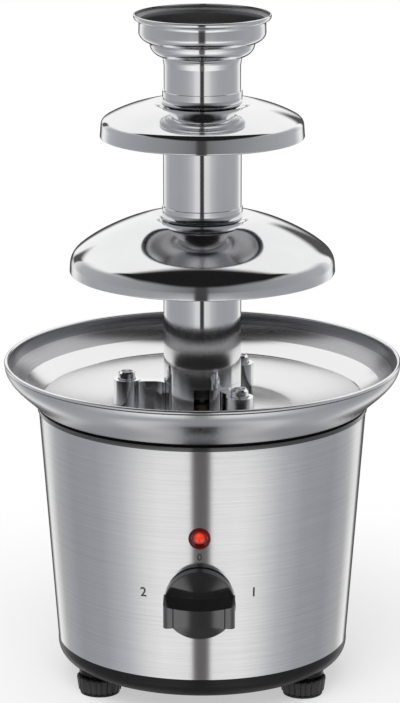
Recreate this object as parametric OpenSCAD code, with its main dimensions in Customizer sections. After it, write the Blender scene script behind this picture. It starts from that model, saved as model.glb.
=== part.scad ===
// Table-top chocolate fountain: a steel drum with a bowl, and a lift-off tower with two tiers and a crown.
// Millimetres, +Z up, origin on the table under the middle of the drum. The controls face -Y.

/* [Feet] */
// Radius of the circle that the feet stand on
foot_pitch_r = 65.5; // [58:0.5:66]
// Outer radius of a knurled levelling wheel at its top
foot_wheel_r = 13; // [11.5:0.5:15]
// Outer radius of a levelling wheel at its foot
foot_wheel_low_r = 12; // [11.5:0.1:14]
// Height of a levelling wheel
foot_wheel_h = 8.7; // [7:0.1:14]
// Grip grooves round a levelling wheel
foot_grooves = 22; // [12:1:28]
// Radius of the swivel pad under a wheel
foot_pad_r = 11; // [8:0.5:12]
// Thickness of the swivel pad
foot_pad_h = 1.2; // [1:0.1:3]
// Room between a wheel and the boss above it
foot_gap = 2.1; // [2.1:0.1:5]
// Radius of the boss above a wheel
foot_boss_r = 11.5; // [9:0.5:13]
// Drop of that boss below the tray's underside
foot_boss_h = 1.2; // [0.5:0.1:3]
// Radius of a levelling stud
stud_r = 3; // [2.5:0.1:4]

/* [Base tray] */
// Height of the band below the housing
base_h = 11.8; // [9.5:0.1:20]
// Rounding of the lower edge
base_edge_r = 9; // [4:0.5:9]
// Thickness of the tray's floor
base_floor_t = 3; // [2:0.5:5]
// Thickness of the ring that locates the housing
base_wall_t = 2.5; // [1.5:0.5:4]
// Height of that ring inside the housing
base_ring_h = 8; // [4:0.5:12]

/* [Housing] */
// Height of the housing
housing_h = 133.3; // [120:0.1:160]
// Outer radius of the housing at its foot
housing_bottom_r = 81.55; // [79:0.05:86]
// Outer radius of the housing at its top
housing_top_r = 91.25; // [89:0.05:95]
// Sheet thickness of the housing
housing_t = 0.8; // [0.5:0.1:1.5]
// Width of the lip turned in at the top
housing_lip_w = 6; // [4:0.5:9]

/* [Bowl] */
// Thickness of the gasket under the bowl
gasket_h = 3; // [2:0.1:5]
// Outer radius of the bowl's rim
bowl_rim_r = 110; // [105:0.5:120]
// Height of the skirt from the gasket to the rim
bowl_h = 23.5; // [20:0.1:32]
// Radius of the skirt's foot
bowl_foot_r = 94; // [92.5:0.5:97]
// Depth of the pan from the rim to its flat floor
pan_depth = 27.8; // [24:0.1:34]
// Radius of the pan's flat floor
pan_flat_r = 52; // [51:0.5:60]
// Width of the pan's wall from the ledge out to the rim
pan_wall_w = 12.5; // [11:0.5:16]
// Width of the ledge from its crease to the wall
pan_ledge_w = 14.5; // [11:0.5:18]
// Depth of the ledge below the rim
pan_ledge_depth = 15.3; // [13:0.1:18]
// Sheet thickness of the pan and the skirt
sheet_t = 1; // [0.8:0.1:1.5]

/* [Tower] */
// Outer radius of the sleeves
sleeve_r = 21.5; // [20.5:0.1:23.5]
// Wall thickness of the sleeves
sleeve_t = 1.2; // [0.8:0.1:2]
// Outer radius of the collar near the foot of a sleeve
collar_r = 22.2; // [21.8:0.1:24.5]
// Outer radius of the riser tube
riser_r = 16.2; // [14:0.1:16.4]
// Wall thickness of the riser tube
riser_t = 1; // [0.8:0.1:1.5]
// Radius of the narrow seat at the foot of a sleeve
seat_r = 17.8; // [17.6:0.1:19]
// Height of the tower's base casting
tower_base_h = 15.6; // [14:0.1:20]
// Radius of the circle of the three bosses
ear_pitch_r = 42; // [40:0.1:44]
// Outer radius of a boss
boss_r = 7.5; // [7:0.1:8]
// Thickness of the web between a boss and the ring
web_t = 5.5; // [4:0.5:8]
// Radius of a locating pin
pin_r = 4.7; // [4:0.1:5]
// Length of a locating pin above the pan
pin_h = 20; // [18:0.5:26]
// Width of a chocolate inlet
inlet_w = 8.7; // [6:0.1:10]
// Height of a chocolate inlet
inlet_h = 14.5; // [8:0.5:14.5]
// Height of the lower sleeve
lower_sleeve_h = 81.4; // [70:0.1:100]
// Height of the middle sleeve
middle_sleeve_h = 58; // [52:0.1:70]
// Height of the ring under the hub of a tier
hub_ring_h = 6; // [5:0.5:9]
// Depth that a tier's spigot enters the sleeve below
spigot_h = 4; // [2:0.5:6]

/* [Tiers] */
// Rim radius of the lower tier
lower_rim_r = 73.2; // [66:0.1:80]
// Height of the lower tier from its edge to its crest
lower_tier_h = 31.2; // [27:0.1:36]
// Rounding of the lower tier's edge
lower_edge_r = 11; // [8:0.1:14]
// Slope of the lower tier where the rounding starts, in degrees
lower_edge_slope = 43.5; // [36:0.5:48]
// Straight skirt below the lower tier's rounding
lower_skirt_h = 3.7; // [1:0.1:6]
// Rim radius of the upper tier
upper_rim_r = 56; // [51:0.1:62]
// Height of the upper tier from its edge to its crest
upper_tier_h = 19.1; // [17:0.1:22]
// Rounding of the upper tier's edge
upper_edge_r = 4.6; // [3.5:0.1:7]
// Slope of the upper tier where the rounding starts, in degrees
upper_edge_slope = 32; // [26:0.5:38]
// Straight skirt below the upper tier's rounding
upper_skirt_h = 6.4; // [4:0.1:8]
// Radius of the crest round the sunken hub
crest_r = 29; // [27:0.5:33]
// Depth of the lower tier's hub below its crest
lower_hub_depth = 6; // [4:0.1:7]
// Depth of the upper tier's hub below its crest
upper_hub_depth = 4.9; // [4:0.1:7]
// Sheet thickness of the tiers and the crown
tier_t = 1; // [0.8:0.1:1.5]

/* [Crown] */
// Height of the collar's foot above the upper tier's hub
collar_z = 5.3; // [4:0.1:7]
// Height of the collar
collar_h = 6.2; // [4:0.1:8]
// Outer radius of the crown's neck
crown_neck_r = 21; // [20.2:0.1:22]
// Height of the top of the neck above the hub
crown_neck_h = 30; // [27:0.1:34]
// Outer radius of the small bowl under the cup
crown_bowl_r = 28.7; // [26:0.1:30]
// Height of the small bowl
crown_bowl_h = 7.6; // [6:0.1:9]
// Outer radius of the cup
crown_cup_r = 34.7; // [32:0.1:36]
// Height of the cup with its lip
crown_cup_h = 15.4; // [13:0.1:19]
// Outer radius of the lip
crown_lip_r = 37.5; // [36.6:0.1:40]
// Height of the riser's mouth above the upper tier's hub
riser_mouth_h = 36; // [32:0.5:37]

/* [Drive] */
// Radius of the drive shaft
shaft_r = 4; // [3:0.1:5]
// Width across the flats of the shaft's hexagon
hex_af = 6.6; // [5:0.1:6.6]
// Length of the hexagon in the auger
hex_h = 14; // [10:0.5:20]
// Lead of the auger's flight
auger_lead = 34; // [26:0.5:44]
// Radius of the auger's core
auger_core_r = 6; // [5.5:0.1:7]
// Thickness of the auger's flight
auger_flight_t = 3; // [2:0.1:4]
// Teeth of the output gear
output_teeth = 56; // [48:1:60]
// Teeth of the idler's pinion
idler_pinion_teeth = 16; // [14:1:18]
// Teeth of the idler's wheel
idler_wheel_teeth = 50; // [44:1:52]
// Teeth of the motor's pinion
motor_pinion_teeth = 14; // [13:1:16]
// Module of the gear pair at the shaft
slow_module = 1; // [0.9:0.05:1.05]
// Module of the gear pair at the motor
fast_module = 0.8; // [0.7:0.05:0.85]
// Room for the gears inside the gearbox
gear_room_h = 20; // [18:0.5:26]
// Inner radius of the gearbox
gearbox_r = 58; // [57.5:0.5:64]
// Thickness of the gearbox's floor and cover
gearbox_t = 3; // [2.5:0.5:5]
// Length of the standoffs that hang the gearbox from the bowl
standoff_h = 20.5; // [19:0.5:24]
// Outer radius of the motor
motor_r = 22; // [20:0.5:23]
// Length of the motor's can
motor_h = 48; // [42:0.5:52]
// Radius of the rotor's core
rotor_r = 9.4; // [7:0.1:11]
// Radius of the motor's shaft
motor_shaft_r = 2.5; // [2:0.1:3]

/* [Heater] */
// Thickness of the heater plate
heater_t = 3.5; // [2.5:0.1:5]
// Outer radius of the heater plate
heater_r = 51; // [50.5:0.5:51.5]
// Radius of the heating element's ring
element_ring_r = 28; // [22:0.5:34]
// Radius of the heating element's tube
element_r = 3; // [2.5:0.1:3.5]

/* [Controls] */
// Height of the knob's axis above the housing's foot
knob_z = 46.5; // [40:0.5:60]
// Radius of the knob
knob_r = 20; // [17:0.5:21]
// Thickness of the knob's disc
knob_disc_h = 6.6; // [6:0.1:9]
// Length of the knob from its back to the front of its grip
knob_h = 23.8; // [22:0.2:28]
// Thickness of the knob's grip at its ends
grip_end_t = 11.4; // [10:0.2:13]
// Thickness of the knob's grip at its waist
grip_waist_t = 9.2; // [7.8:0.2:10]
// Length of the grip's front edge
grip_front_l = 36.6; // [30:0.2:38]
// Radius of the switch spindle
spindle_r = 3; // [2.5:0.1:3.5]
// Height of the pilot lamp above the housing's foot
lamp_z = 83; // [78:0.5:100]
// Radius of the pilot lamp's bezel
bezel_r = 6; // [5.5:0.1:8]
// Radius of the pilot lamp's lens
lens_r = 4.4; // [3.5:0.1:4.8]
// Height of the cord gland above the housing's foot
gland_z = 22; // [18:0.5:30]
// Radius of the cord gland's bore
gland_bore_r = 3.6; // [3:0.1:4.2]

/* [Hidden] */
// Clearances
slide_gap = 0.4;
auger_gap = 0.5;
run_gap = 0.05;
press_gap = 0.02;
seat_gap = 0.1;
// Stack of heights from the table up
base_z = foot_pad_h + foot_wheel_h + foot_gap + foot_boss_h;
tray_floor_z = base_z + base_floor_t;
housing_z = base_z + base_h;
housing_top_z = housing_z + housing_h;
skirt_z = housing_top_z + gasket_h;
rim_z = skirt_z + bowl_h;
pan_z = rim_z - pan_depth;
ledge_z = rim_z - pan_ledge_depth;
tower_top_z = pan_z + tower_base_h;
lower_ring_z = tower_top_z + lower_sleeve_h;
lower_hub_z = lower_ring_z + hub_ring_h;
upper_ring_z = lower_hub_z + middle_sleeve_h;
upper_hub_z = upper_ring_z + hub_ring_h;
riser_top_z = upper_hub_z + riser_mouth_h;
// Stack of heights from the pan down
pan_under_z = pan_z - sheet_t;
heater_under_z = pan_under_z - heater_t;
washer_t = 1;
standoff_top_z = heater_under_z - washer_t;
cover_top_z = standoff_top_z - standoff_h;
cover_under_z = cover_top_z - gearbox_t;
case_floor_z = cover_under_z - gear_room_h;
case_under_z = case_floor_z - gearbox_t;
motor_foot_z = case_under_z - motor_h;
// Radii that several pieces share
bore_r = riser_r + slide_gap;
spigot_r = sleeve_r - sleeve_t - slide_gap;
auger_r = riser_r - riser_t - auger_gap;
pan_ledge_r = bowl_rim_r - pan_wall_w;
pan_crease_r = pan_ledge_r - pan_ledge_w;
gearbox_wall = 5;
gearbox_out_r = gearbox_r + gearbox_wall;
wall_taper = atan((housing_top_r - housing_bottom_r) / housing_h);
// Angles of the ears, the inlets and the feet
ear_angles = [60, 180, 300];
inlet_angles = [90, 270];
foot_angles = [90, 210, 330];
screw_angles = [0, 120, 240];
// Gear train
pressure_angle = 20;
addendum = 0.8;
dedendum = 1.1;
backlash = 0.16;
slow_distance = slow_module * (output_teeth + idler_pinion_teeth) / 2;
fast_distance = fast_module * (idler_wheel_teeth + motor_pinion_teeth) / 2;
idler_at = [0, slow_distance];
motor_angle = 210;
motor_at = idler_at + fast_distance * [cos(motor_angle), sin(motor_angle)];
idler_pin_r = 2;
wheel_rise = 1.5;
wheel_h = 6.5;
wheel_z = case_floor_z + wheel_rise;
gear_gap = 2;
output_z = wheel_z + wheel_h + gear_gap;
output_h = 8;
pinion_over = 0.5;
hub_r = 9;
hub_under = 3;
hub_over = 1;
shaft_room = 2;
// Shaft and its bush
bush_r = 6.5;
bush_flange_r = 10;
bush_flange_h = 3;
bush_under = 12;
bush_nut_af = 19;
bush_nut_h = 5;
seal_w = 3;
seal_h = 2;
collar_w = 1.5;
shoulder_z = pan_z + bush_flange_h + 2;
bearing_r = 8;
bearing_h = 3;
bearing_floor_z = case_under_z + 1;
end_play = 0.3;
shaft_foot_z = bearing_floor_z + end_play;
// Fasteners
screw_r = 1.5;
screw_head_r = 3;
screw_head_h = 2;
screw_l = 7;
hanger_head_r = 4;
hanger_head_h = 2.5;
hanger_l = 7;
standoff_af = 9;
washer_r = 5.5;
stud_thread_r = 2.5;
rod_r = 2;
rod_pitch_r = 48;
rod_head_r = 4;
rod_head_h = 3;
rod_boss_r = 7;
rod_boss_h = 9;
rod_lug_r = 5.5;
rod_lug_h = 8;
rod_head_sink = 0.5;
insert_r = 5;
insert_h = 8;
swivel_r = 4;
swivel_h = 2.5;
recess_h = 2.5;
stud_spare = 6;
// Motor
can_t = 1.5;
motor_end_t = 3;
motor_cap_h = 5;
cap_floor_t = 1.5;
motor_screw_r = 14;
stator_rise = 6;
stator_drop = 10;
rotor_inset = 3;
rotor_gap = 0.8;
// Wiring
block_size = [26, 12, 14];
block_front_y = 37;
block_socket = 6;
element_gap = 40;
element_tail = 6;
thermostat_r = 7;
thermostat_h = 8;
thermostat_inset = 11;
tab_size = [2, 19, 2];
fuse_size = [6, 20, 6];
fuse_inset = 10;
// Controls
knob_back = 0.8;
bush_thread_r = 5;
spindle_in = 5.5;
spindle_tail = 12;
knob_cavity_r = 15;
knob_cavity_h = 3.6;
switch_w = 24;
switch_h = 22;
switch_gap = 2.2;
switch_nut_af = 14;
lamp_neck_r = 4.6;
lamp_neck_l = 6;
lamp_seat = 0.8;
lamp_flange = 1.2;
lamp_gap = 1.6;
gland_r = 6.4;
gland_flange_r = 9;
gland_nut_af = 18;
gland_nut_gap = 1.2;
bead_r = 1.1;
steel = "gainsboro";
polished = "silver";
black = "dimgray";

$fn = 96;

// Outer radius of the housing at a height above its foot
function wall_r(h) = housing_bottom_r + (housing_top_r - housing_bottom_r) * h / housing_h;

// Points of an arc about c, from angle a0 to a1
function arc(c, r, a0, a1, n = 8) =
    [for (i = [0:n]) let (a = a0 + (a1 - a0) * i / n) c + r * [cos(a), sin(a)]];

// Points of a cubic curve from p to s with the handles q and r
function curve(p, q, r, s, n = 12) =
    [for (i = [0:n]) let (t = i / n, u = 1 - t) u^3 * p + 3 * u^2 * t * q + 3 * u * t^2 * r + t^3 * s];

// Unit normal to the left of the way from a to b
function left_normal(a, b) = let (d = (b - a) / norm(b - a)) [-d.y, d.x];

// A path moved sideways by t, mitred at its bends
function shifted(path, t) = [for (i = [0:len(path) - 1])
    let (a = left_normal(path[max(i - 1, 0)], path[max(i, 1)]),
        b = left_normal(path[min(i, len(path) - 2)], path[min(i + 1, len(path) - 1)]),
        m = (a + b) / norm(a + b))
    path[i] + t * m / (m * a)];

function backwards(path) = [for (i = [len(path) - 1:-1:0]) path[i]];

// A turned sheet of thickness t, to the left of its path
module turned_sheet(path, t) {
    rotate_extrude() polygon(concat(path, backwards(shifted(path, t))));
}

module turned(points) {
    rotate_extrude() polygon(points);
}

// A tube about the Z axis
module tube(r_out, r_in, h) {
    difference() {
        cylinder(r = r_out, h = h);
        translate([0, 0, -1]) cylinder(r = r_in, h = h + 2);
    }
}

module around(r, angles) {
    for (a = angles) rotate(a) translate([r, 0, 0]) children();
}

// Local frame on the housing's wall: +Z out of the wall, +Y up, at an angle about the drum
module on_wall(h, turn = 0) {
    rotate(turn) translate([0, -wall_r(h), housing_z + h]) rotate([90 + wall_taper, 0, 0]) children();
}

// Place of a point of that frame on the front of the housing
function wall_point(h, p) = [p.x, -wall_r(h) - p.y * sin(wall_taper) - p.z * cos(wall_taper),
    housing_z + h + p.y * cos(wall_taper) - p.z * sin(wall_taper)];

module hexagon(af, h) {
    cylinder(d = af / cos(30), h = h, $fn = 6);
}

// Involute gear

function involute(rb, r) = let (a = acos(min(1, rb / r))) tan(a) * 180 / PI - a;

function tooth(m, teeth) = let (rp = m * teeth / 2, rb = rp * cos(pressure_angle), ra = rp + addendum * m,
    rf = rp - dedendum * m, r0 = max(rb, rf), half = 90 / teeth - backlash / 4 / rp * 180 / PI,
    flank = [for (i = [0:4]) let (r = r0 + (ra - r0) * i / 4) [r, half + involute(rb, rp) - involute(rb, r)]],
    side = concat([[rf, flank[0][1]]], flank))
    concat([for (p = side) [p[0], -p[1]]], backwards(side));

module gear(m, teeth, h, turn) {
    points = [for (i = [0:teeth - 1], p = tooth(m, teeth))
        let (a = p[1] + turn + i * 360 / teeth) p[0] * [cos(a), sin(a)]];
    linear_extrude(h) polygon(points);
}

// Tower

// Upper face of a tier, from the seat of its hub out and down to its edge
function tier_path(hub_z, hub_depth, rim_r, tier_h, edge_r, slope, skirt_h) = let (
    crest = [crest_r, hub_z + hub_depth],
    edge_z = crest.y - tier_h,
    edge_c = [rim_r - edge_r, edge_z + skirt_h],
    shoulder = edge_c + edge_r * [sin(slope), cos(slope)],
    reach = shoulder.x - crest_r)
    concat([[bore_r, hub_z], [seat_r + slide_gap, hub_z]],
        curve([seat_r + slide_gap + 0.4, hub_z + 0.2], [seat_r + 3, hub_z + hub_depth * 0.6],
            crest - [5, 0], crest, 8),
        curve(crest + [1, 0], crest + [reach * 0.22, 0],
            shoulder + reach * 0.28 * [-cos(slope), sin(slope)], shoulder, 16),
        arc(edge_c, edge_r, 90 - slope - 6, 0, 8),
        [[rim_r - 0.3, edge_z]]);

module tier(hub_z, hub_depth, rim_r, tier_h, edge_r, slope, skirt_h) {
    ring_z = hub_z - hub_ring_h;
    path = tier_path(hub_z, hub_depth, rim_r, tier_h, edge_r, slope, skirt_h);
    difference() {
        union() {
            turned_sheet(path, -tier_t);
            translate([0, 0, ring_z]) cylinder(r = sleeve_r, h = hub_ring_h - tier_t / 2);
            translate([0, 0, ring_z - spigot_h]) cylinder(r = spigot_r, h = spigot_h + 1);
        }
        translate([0, 0, ring_z - spigot_h - 1]) cylinder(r = bore_r, h = spigot_h + hub_ring_h + 2);
    }
}

module upper_tier() {
    color(polished)
        tier(upper_hub_z, upper_hub_depth, upper_rim_r, upper_tier_h, upper_edge_r, upper_edge_slope,
            upper_skirt_h);
}

module lower_tier() {
    color(polished)
        tier(lower_hub_z, lower_hub_depth, lower_rim_r, lower_tier_h, lower_edge_r, lower_edge_slope,
            lower_skirt_h);
}

// Foot of a sleeve: the seat, the rounded taper and the collar, from the hub up
function sleeve_foot(z, tube_r, rim_r) = concat([[seat_r, z]],
    curve([seat_r + 0.2, z + 1], [seat_r + 1.6, z + 2.6],
        [rim_r - 0.2, z + 3.2], [rim_r - 0.1, z + collar_z], 6),
    [[rim_r, z + collar_z + 0.4], [rim_r, z + collar_z + collar_h - 0.4], [tube_r, z + collar_z + collar_h]]);

module middle_sleeve() {
    foot = sleeve_foot(lower_hub_z, sleeve_r, collar_r);
    color(polished) {
        turned_sheet(concat(foot, [[sleeve_r, upper_ring_z]]), sleeve_t);
        translate([0, 0, lower_hub_z]) tube(seat_r, bore_r, 1);
    }
}

module lower_sleeve() {
    color(polished) translate([0, 0, tower_top_z]) tube(sleeve_r, sleeve_r - sleeve_t, lower_sleeve_h);
}

module inlets(r_in, r_out) {
    for (a = inlet_angles) rotate(a) translate([r_in, -inlet_w / 2, pan_z - 1])
        cube([r_out - r_in, inlet_w, inlet_h + 1]);
}

module riser_tube() {
    color(steel) difference() {
        translate([0, 0, pan_z]) tube(riser_r, riser_r - riser_t, riser_top_z - pan_z);
        inlets(riser_r - riser_t - 2, riser_r + 2);
    }
}

module tower_base() {
    web_drop = 0.8;
    fillet = 7;
    color(polished) difference() {
        union() {
            translate([0, 0, pan_z]) cylinder(r = sleeve_r, h = tower_base_h);
            around(ear_pitch_r, ear_angles) translate([0, 0, pan_z]) cylinder(r = boss_r, h = tower_base_h);
            translate([0, 0, pan_z]) linear_extrude(tower_base_h - web_drop)
                offset(-fillet, $fn = 48) offset(fillet, $fn = 48) {
                    circle(r = sleeve_r - 0.1);
                    for (a = ear_angles) rotate(a) {
                        translate([0, -web_t / 2]) square([ear_pitch_r, web_t]);
                        translate([ear_pitch_r, 0]) circle(r = boss_r - 0.1);
                    }
                }
        }
        translate([0, 0, pan_z - 1]) cylinder(r = riser_r + press_gap, h = tower_base_h + 2);
        around(ear_pitch_r, ear_angles) translate([0, 0, pan_z - 1])
            cylinder(r = pin_r + slide_gap, h = tower_base_h + 2);
        inlets(riser_r - 2, sleeve_r + 6);
    }
}

// Crown: seat and collar, neck, small bowl, cup and rolled lip
module crown() {
    neck_z = upper_hub_z + crown_neck_h;
    bowl_top_z = neck_z + crown_bowl_h;
    top_z = bowl_top_z + crown_cup_h;
    collar_out_r = crown_neck_r + 0.9;
    step = 0.7;
    cup_in_r = crown_bowl_r - 0.4;
    path = concat(sleeve_foot(upper_hub_z, crown_neck_r, collar_out_r),
        [[crown_neck_r, neck_z - 4.5], [crown_neck_r + 0.6, neck_z - 0.8]],
        curve([crown_neck_r + 0.4, neck_z], [crown_bowl_r - 3, neck_z + 0.4],
            [crown_bowl_r - 0.2, neck_z + crown_bowl_h * 0.45], [crown_bowl_r, bowl_top_z - step], 7),
        curve([cup_in_r, bowl_top_z], [crown_cup_r - 3.4, bowl_top_z + 0.5],
            [crown_cup_r - 0.4, bowl_top_z + 2.4], [crown_cup_r, top_z - 10], 7),
        [[crown_cup_r, top_z - 4.6]],
        curve([crown_cup_r + 0.3, top_z - 3.6], [crown_lip_r - 1, top_z - 3.2], [crown_lip_r, top_z - 2.4],
            [crown_lip_r, top_z - 1], 6),
        [[crown_lip_r - 0.2, top_z - 0.2], [crown_lip_r - 0.8, top_z]]);
    color(polished) difference() {
        union() {
            turned_sheet(path, tier_t);
            translate([0, 0, upper_hub_z]) cylinder(r = seat_r, h = 1);
            translate([0, 0, neck_z - 3]) cylinder(r = crown_neck_r + 0.1, h = 1.5);
        }
        translate([0, 0, upper_hub_z - 1]) cylinder(r = bore_r, h = crown_neck_h + 2);
    }
}

// Auger: a flight wound round a core, with a socket for the shaft's hexagon
module auger() {
    foot_z = shoulder_z;
    top_z = riser_top_z - 5;
    flight_z = foot_z + 1;
    flight_l = top_z - 4 - flight_z;
    turns = flight_l / auger_lead;
    span = auger_flight_t * 360 / auger_lead;
    color("slategray") difference() {
        union() {
            translate([0, 0, foot_z]) cylinder(r = auger_core_r, h = top_z - foot_z);
            translate([0, 0, flight_z])
                linear_extrude(flight_l, twist = -360 * turns, slices = round(turns * 20), segments = 9)
                    polygon(concat([[0, 0]], arc([0, 0], auger_r, -span / 2, span / 2, 3)));
        }
        translate([0, 0, foot_z - 1]) hexagon(hex_af + slide_gap, hex_h + 2);
    }
}

// Drive

module drive_shaft() {
    color(steel) {
        translate([0, 0, shaft_foot_z]) cylinder(r = shaft_r, h = shoulder_z - shaft_foot_z);
        translate([0, 0, shoulder_z - collar_w]) cylinder(r = shaft_r + collar_w, h = collar_w);
        translate([0, 0, shoulder_z]) hexagon(hex_af, hex_h);
    }
}

module shaft_bush() {
    color("darkgoldenrod") difference() {
        union() {
            translate([0, 0, pan_z]) cylinder(r = bush_flange_r, h = bush_flange_h);
            translate([0, 0, pan_z - bush_under]) cylinder(r = bush_r, h = bush_under + 1);
        }
        translate([0, 0, pan_z - bush_under - 1])
            cylinder(r = shaft_r + run_gap, h = bush_under + bush_flange_h + 2);
        translate([0, 0, pan_z + bush_flange_h - seal_h]) cylinder(r = shaft_r + seal_w, h = seal_h + 1);
    }
}

module shaft_seal() {
    color(black) translate([0, 0, pan_z + bush_flange_h - seal_h])
        tube(shaft_r + seal_w - press_gap, shaft_r + run_gap, seal_h);
}

module bush_nut() {
    color("darkgoldenrod") translate([0, 0, pan_under_z - bush_nut_h]) difference() {
        hexagon(bush_nut_af, bush_nut_h);
        translate([0, 0, -1]) cylinder(r = bush_r + press_gap, h = bush_nut_h + 2);
    }
}

module output_gear() {
    color("ivory") difference() {
        union() {
            translate([0, 0, output_z]) gear(slow_module, output_teeth, output_h, 90);
            translate([0, 0, output_z - hub_under]) cylinder(r = hub_r, h = hub_under + output_h + hub_over);
        }
        translate([0, 0, output_z - hub_under - 1])
            cylinder(r = shaft_r + press_gap, h = hub_under + output_h + hub_over + 2);
    }
}

module idler_gear() {
    // A gap of the pinion faces the output gear, and a tooth of the wheel faces the motor's pinion
    color("ivory") translate([idler_at.x, idler_at.y, 0]) difference() {
        union() {
            translate([0, 0, wheel_z]) gear(fast_module, idler_wheel_teeth, wheel_h, motor_angle);
            translate([0, 0, wheel_z + wheel_h - 0.5])
                gear(slow_module, idler_pinion_teeth, gear_gap + output_h + pinion_over + 0.5,
                    270 + 180 / idler_pinion_teeth);
        }
        translate([0, 0, wheel_z - 1])
            cylinder(r = idler_pin_r + run_gap, h = wheel_h + gear_gap + output_h + pinion_over + 2);
    }
}

module idler_pin() {
    color(steel) translate([idler_at.x, idler_at.y, case_under_z])
        cylinder(r = idler_pin_r, h = cover_top_z - case_under_z);
}

module gearbox_case() {
    color("whitesmoke") difference() {
        union() {
            translate([0, 0, case_under_z]) tube(gearbox_out_r, gearbox_r, cover_under_z - case_under_z);
            translate([0, 0, case_under_z]) cylinder(r = gearbox_r + 1, h = gearbox_t);
            translate([0, 0, case_under_z]) cylinder(r = bearing_r, h = gearbox_t + bearing_h);
            around(rod_pitch_r, ear_angles) translate([0, 0, case_under_z - rod_lug_h])
                cylinder(r = rod_lug_r, h = rod_lug_h + 1);
        }
        translate([0, 0, bearing_floor_z]) cylinder(r = shaft_r + run_gap, h = gearbox_t + bearing_h + 1);
        translate([idler_at.x, idler_at.y, case_under_z - 1])
            cylinder(r = idler_pin_r + press_gap, h = gearbox_t + 2);
        translate([motor_at.x, motor_at.y, case_under_z - 1])
            cylinder(r = motor_shaft_r + shaft_room, h = gearbox_t + 2);
        motor_screw_places() translate([0, 0, case_under_z - 1])
            cylinder(r = screw_r + seat_gap, h = gearbox_t + 2);
        around(rod_pitch_r, ear_angles) translate([0, 0, case_under_z - rod_lug_h - 1])
            cylinder(r = rod_r + press_gap, h = rod_lug_h + 1 + gearbox_t / 2);
        around(gearbox_r + gearbox_wall / 2, screw_angles) translate([0, 0, cover_under_z - screw_l - 1])
            cylinder(r = screw_r + press_gap, h = screw_l + 2);
    }
}

module gearbox_cover() {
    color("whitesmoke") translate([0, 0, cover_under_z]) difference() {
        cylinder(r = gearbox_out_r, h = gearbox_t);
        translate([0, 0, -1]) cylinder(r = shaft_r + shaft_room, h = gearbox_t + 2);
        translate([idler_at.x, idler_at.y, -1]) cylinder(r = idler_pin_r + press_gap, h = gearbox_t + 2);
        around(ear_pitch_r, ear_angles) translate([0, 0, -1])
            cylinder(r = stud_thread_r + seat_gap, h = gearbox_t + 2);
        around(gearbox_r + gearbox_wall / 2, screw_angles) translate([0, 0, -1])
            cylinder(r = screw_r + seat_gap, h = gearbox_t + 2);
    }
}

module cover_screws() {
    color(steel) around(gearbox_r + gearbox_wall / 2, screw_angles) {
        translate([0, 0, cover_top_z]) cylinder(r = screw_head_r, h = screw_head_h);
        translate([0, 0, cover_under_z - screw_l]) cylinder(r = screw_r, h = gearbox_t + screw_l);
    }
}

module hanger_screws() {
    color(steel) around(ear_pitch_r, ear_angles) {
        translate([0, 0, cover_under_z - hanger_head_h]) cylinder(r = hanger_head_r, h = hanger_head_h);
        translate([0, 0, cover_under_z]) cylinder(r = stud_thread_r, h = gearbox_t + hanger_l);
    }
}

module standoffs() {
    color(steel) around(ear_pitch_r, ear_angles) translate([0, 0, cover_top_z]) difference() {
        hexagon(standoff_af, standoff_h);
        translate([0, 0, -1]) cylinder(r = stud_thread_r + press_gap, h = standoff_h + 2);
    }
}

module locating_pins() {
    tip = 1;
    cup_wall = 0.5;
    cup_h = 1.5;
    stud_l = sheet_t + heater_t + washer_t + hanger_l;
    color(polished) around(ear_pitch_r, ear_angles) translate([0, 0, pan_z]) difference() {
        union() {
            cylinder(r = pin_r, h = pin_h - tip);
            translate([0, 0, pin_h - tip]) cylinder(r1 = pin_r, r2 = pin_r - tip, h = tip);
            translate([0, 0, -stud_l]) cylinder(r = stud_thread_r, h = stud_l);
        }
        translate([0, 0, pin_h - cup_h]) cylinder(r = pin_r - tip - cup_wall, h = cup_h + 1);
    }
}

module pin_washers() {
    color("firebrick") around(ear_pitch_r, ear_angles) translate([0, 0, standoff_top_z])
        tube(washer_r, stud_thread_r + press_gap, washer_t);
}

// Motor

module motor_screw_places() {
    for (side = [-1, 1]) translate([motor_at.x, motor_at.y, 0]) rotate(motor_angle + 90)
        translate([side * motor_screw_r, 0, 0]) children();
}

module motor_can() {
    color(steel) difference() {
        translate([motor_at.x, motor_at.y, motor_foot_z]) cylinder(r = motor_r, h = motor_h);
        translate([motor_at.x, motor_at.y, motor_foot_z - 1])
            cylinder(r = motor_r - can_t, h = motor_h - motor_end_t + 1);
        translate([motor_at.x, motor_at.y, motor_foot_z])
            cylinder(r = motor_shaft_r + run_gap, h = motor_h + 1);
        motor_screw_places() translate([0, 0, case_under_z - motor_end_t - 1])
            cylinder(r = screw_r + press_gap, h = motor_end_t + 2);
    }
}

module motor_cap() {
    color(black) translate([motor_at.x, motor_at.y, motor_foot_z - motor_cap_h]) difference() {
        cylinder(r = motor_r, h = motor_cap_h);
        translate([0, 0, cap_floor_t]) cylinder(r = motor_shaft_r + run_gap, h = motor_cap_h);
    }
}

module stator() {
    color("sienna") translate([motor_at.x, motor_at.y, motor_foot_z + stator_rise])
        tube(motor_r - can_t - press_gap, rotor_r + rotor_gap, motor_h - stator_rise - stator_drop);
}

module rotor() {
    foot_z = motor_foot_z - motor_cap_h + cap_floor_t + end_play;
    color(steel) translate([motor_at.x, motor_at.y, 0]) {
        translate([0, 0, foot_z]) cylinder(r = motor_shaft_r, h = wheel_z - foot_z + 1);
        translate([0, 0, motor_foot_z + stator_rise + rotor_inset])
            cylinder(r = rotor_r, h = motor_h - stator_rise - stator_drop - 2 * rotor_inset);
        translate([0, 0, wheel_z]) gear(fast_module, motor_pinion_teeth, wheel_h,
            motor_angle + 180 + 180 / motor_pinion_teeth);
    }
}

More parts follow.
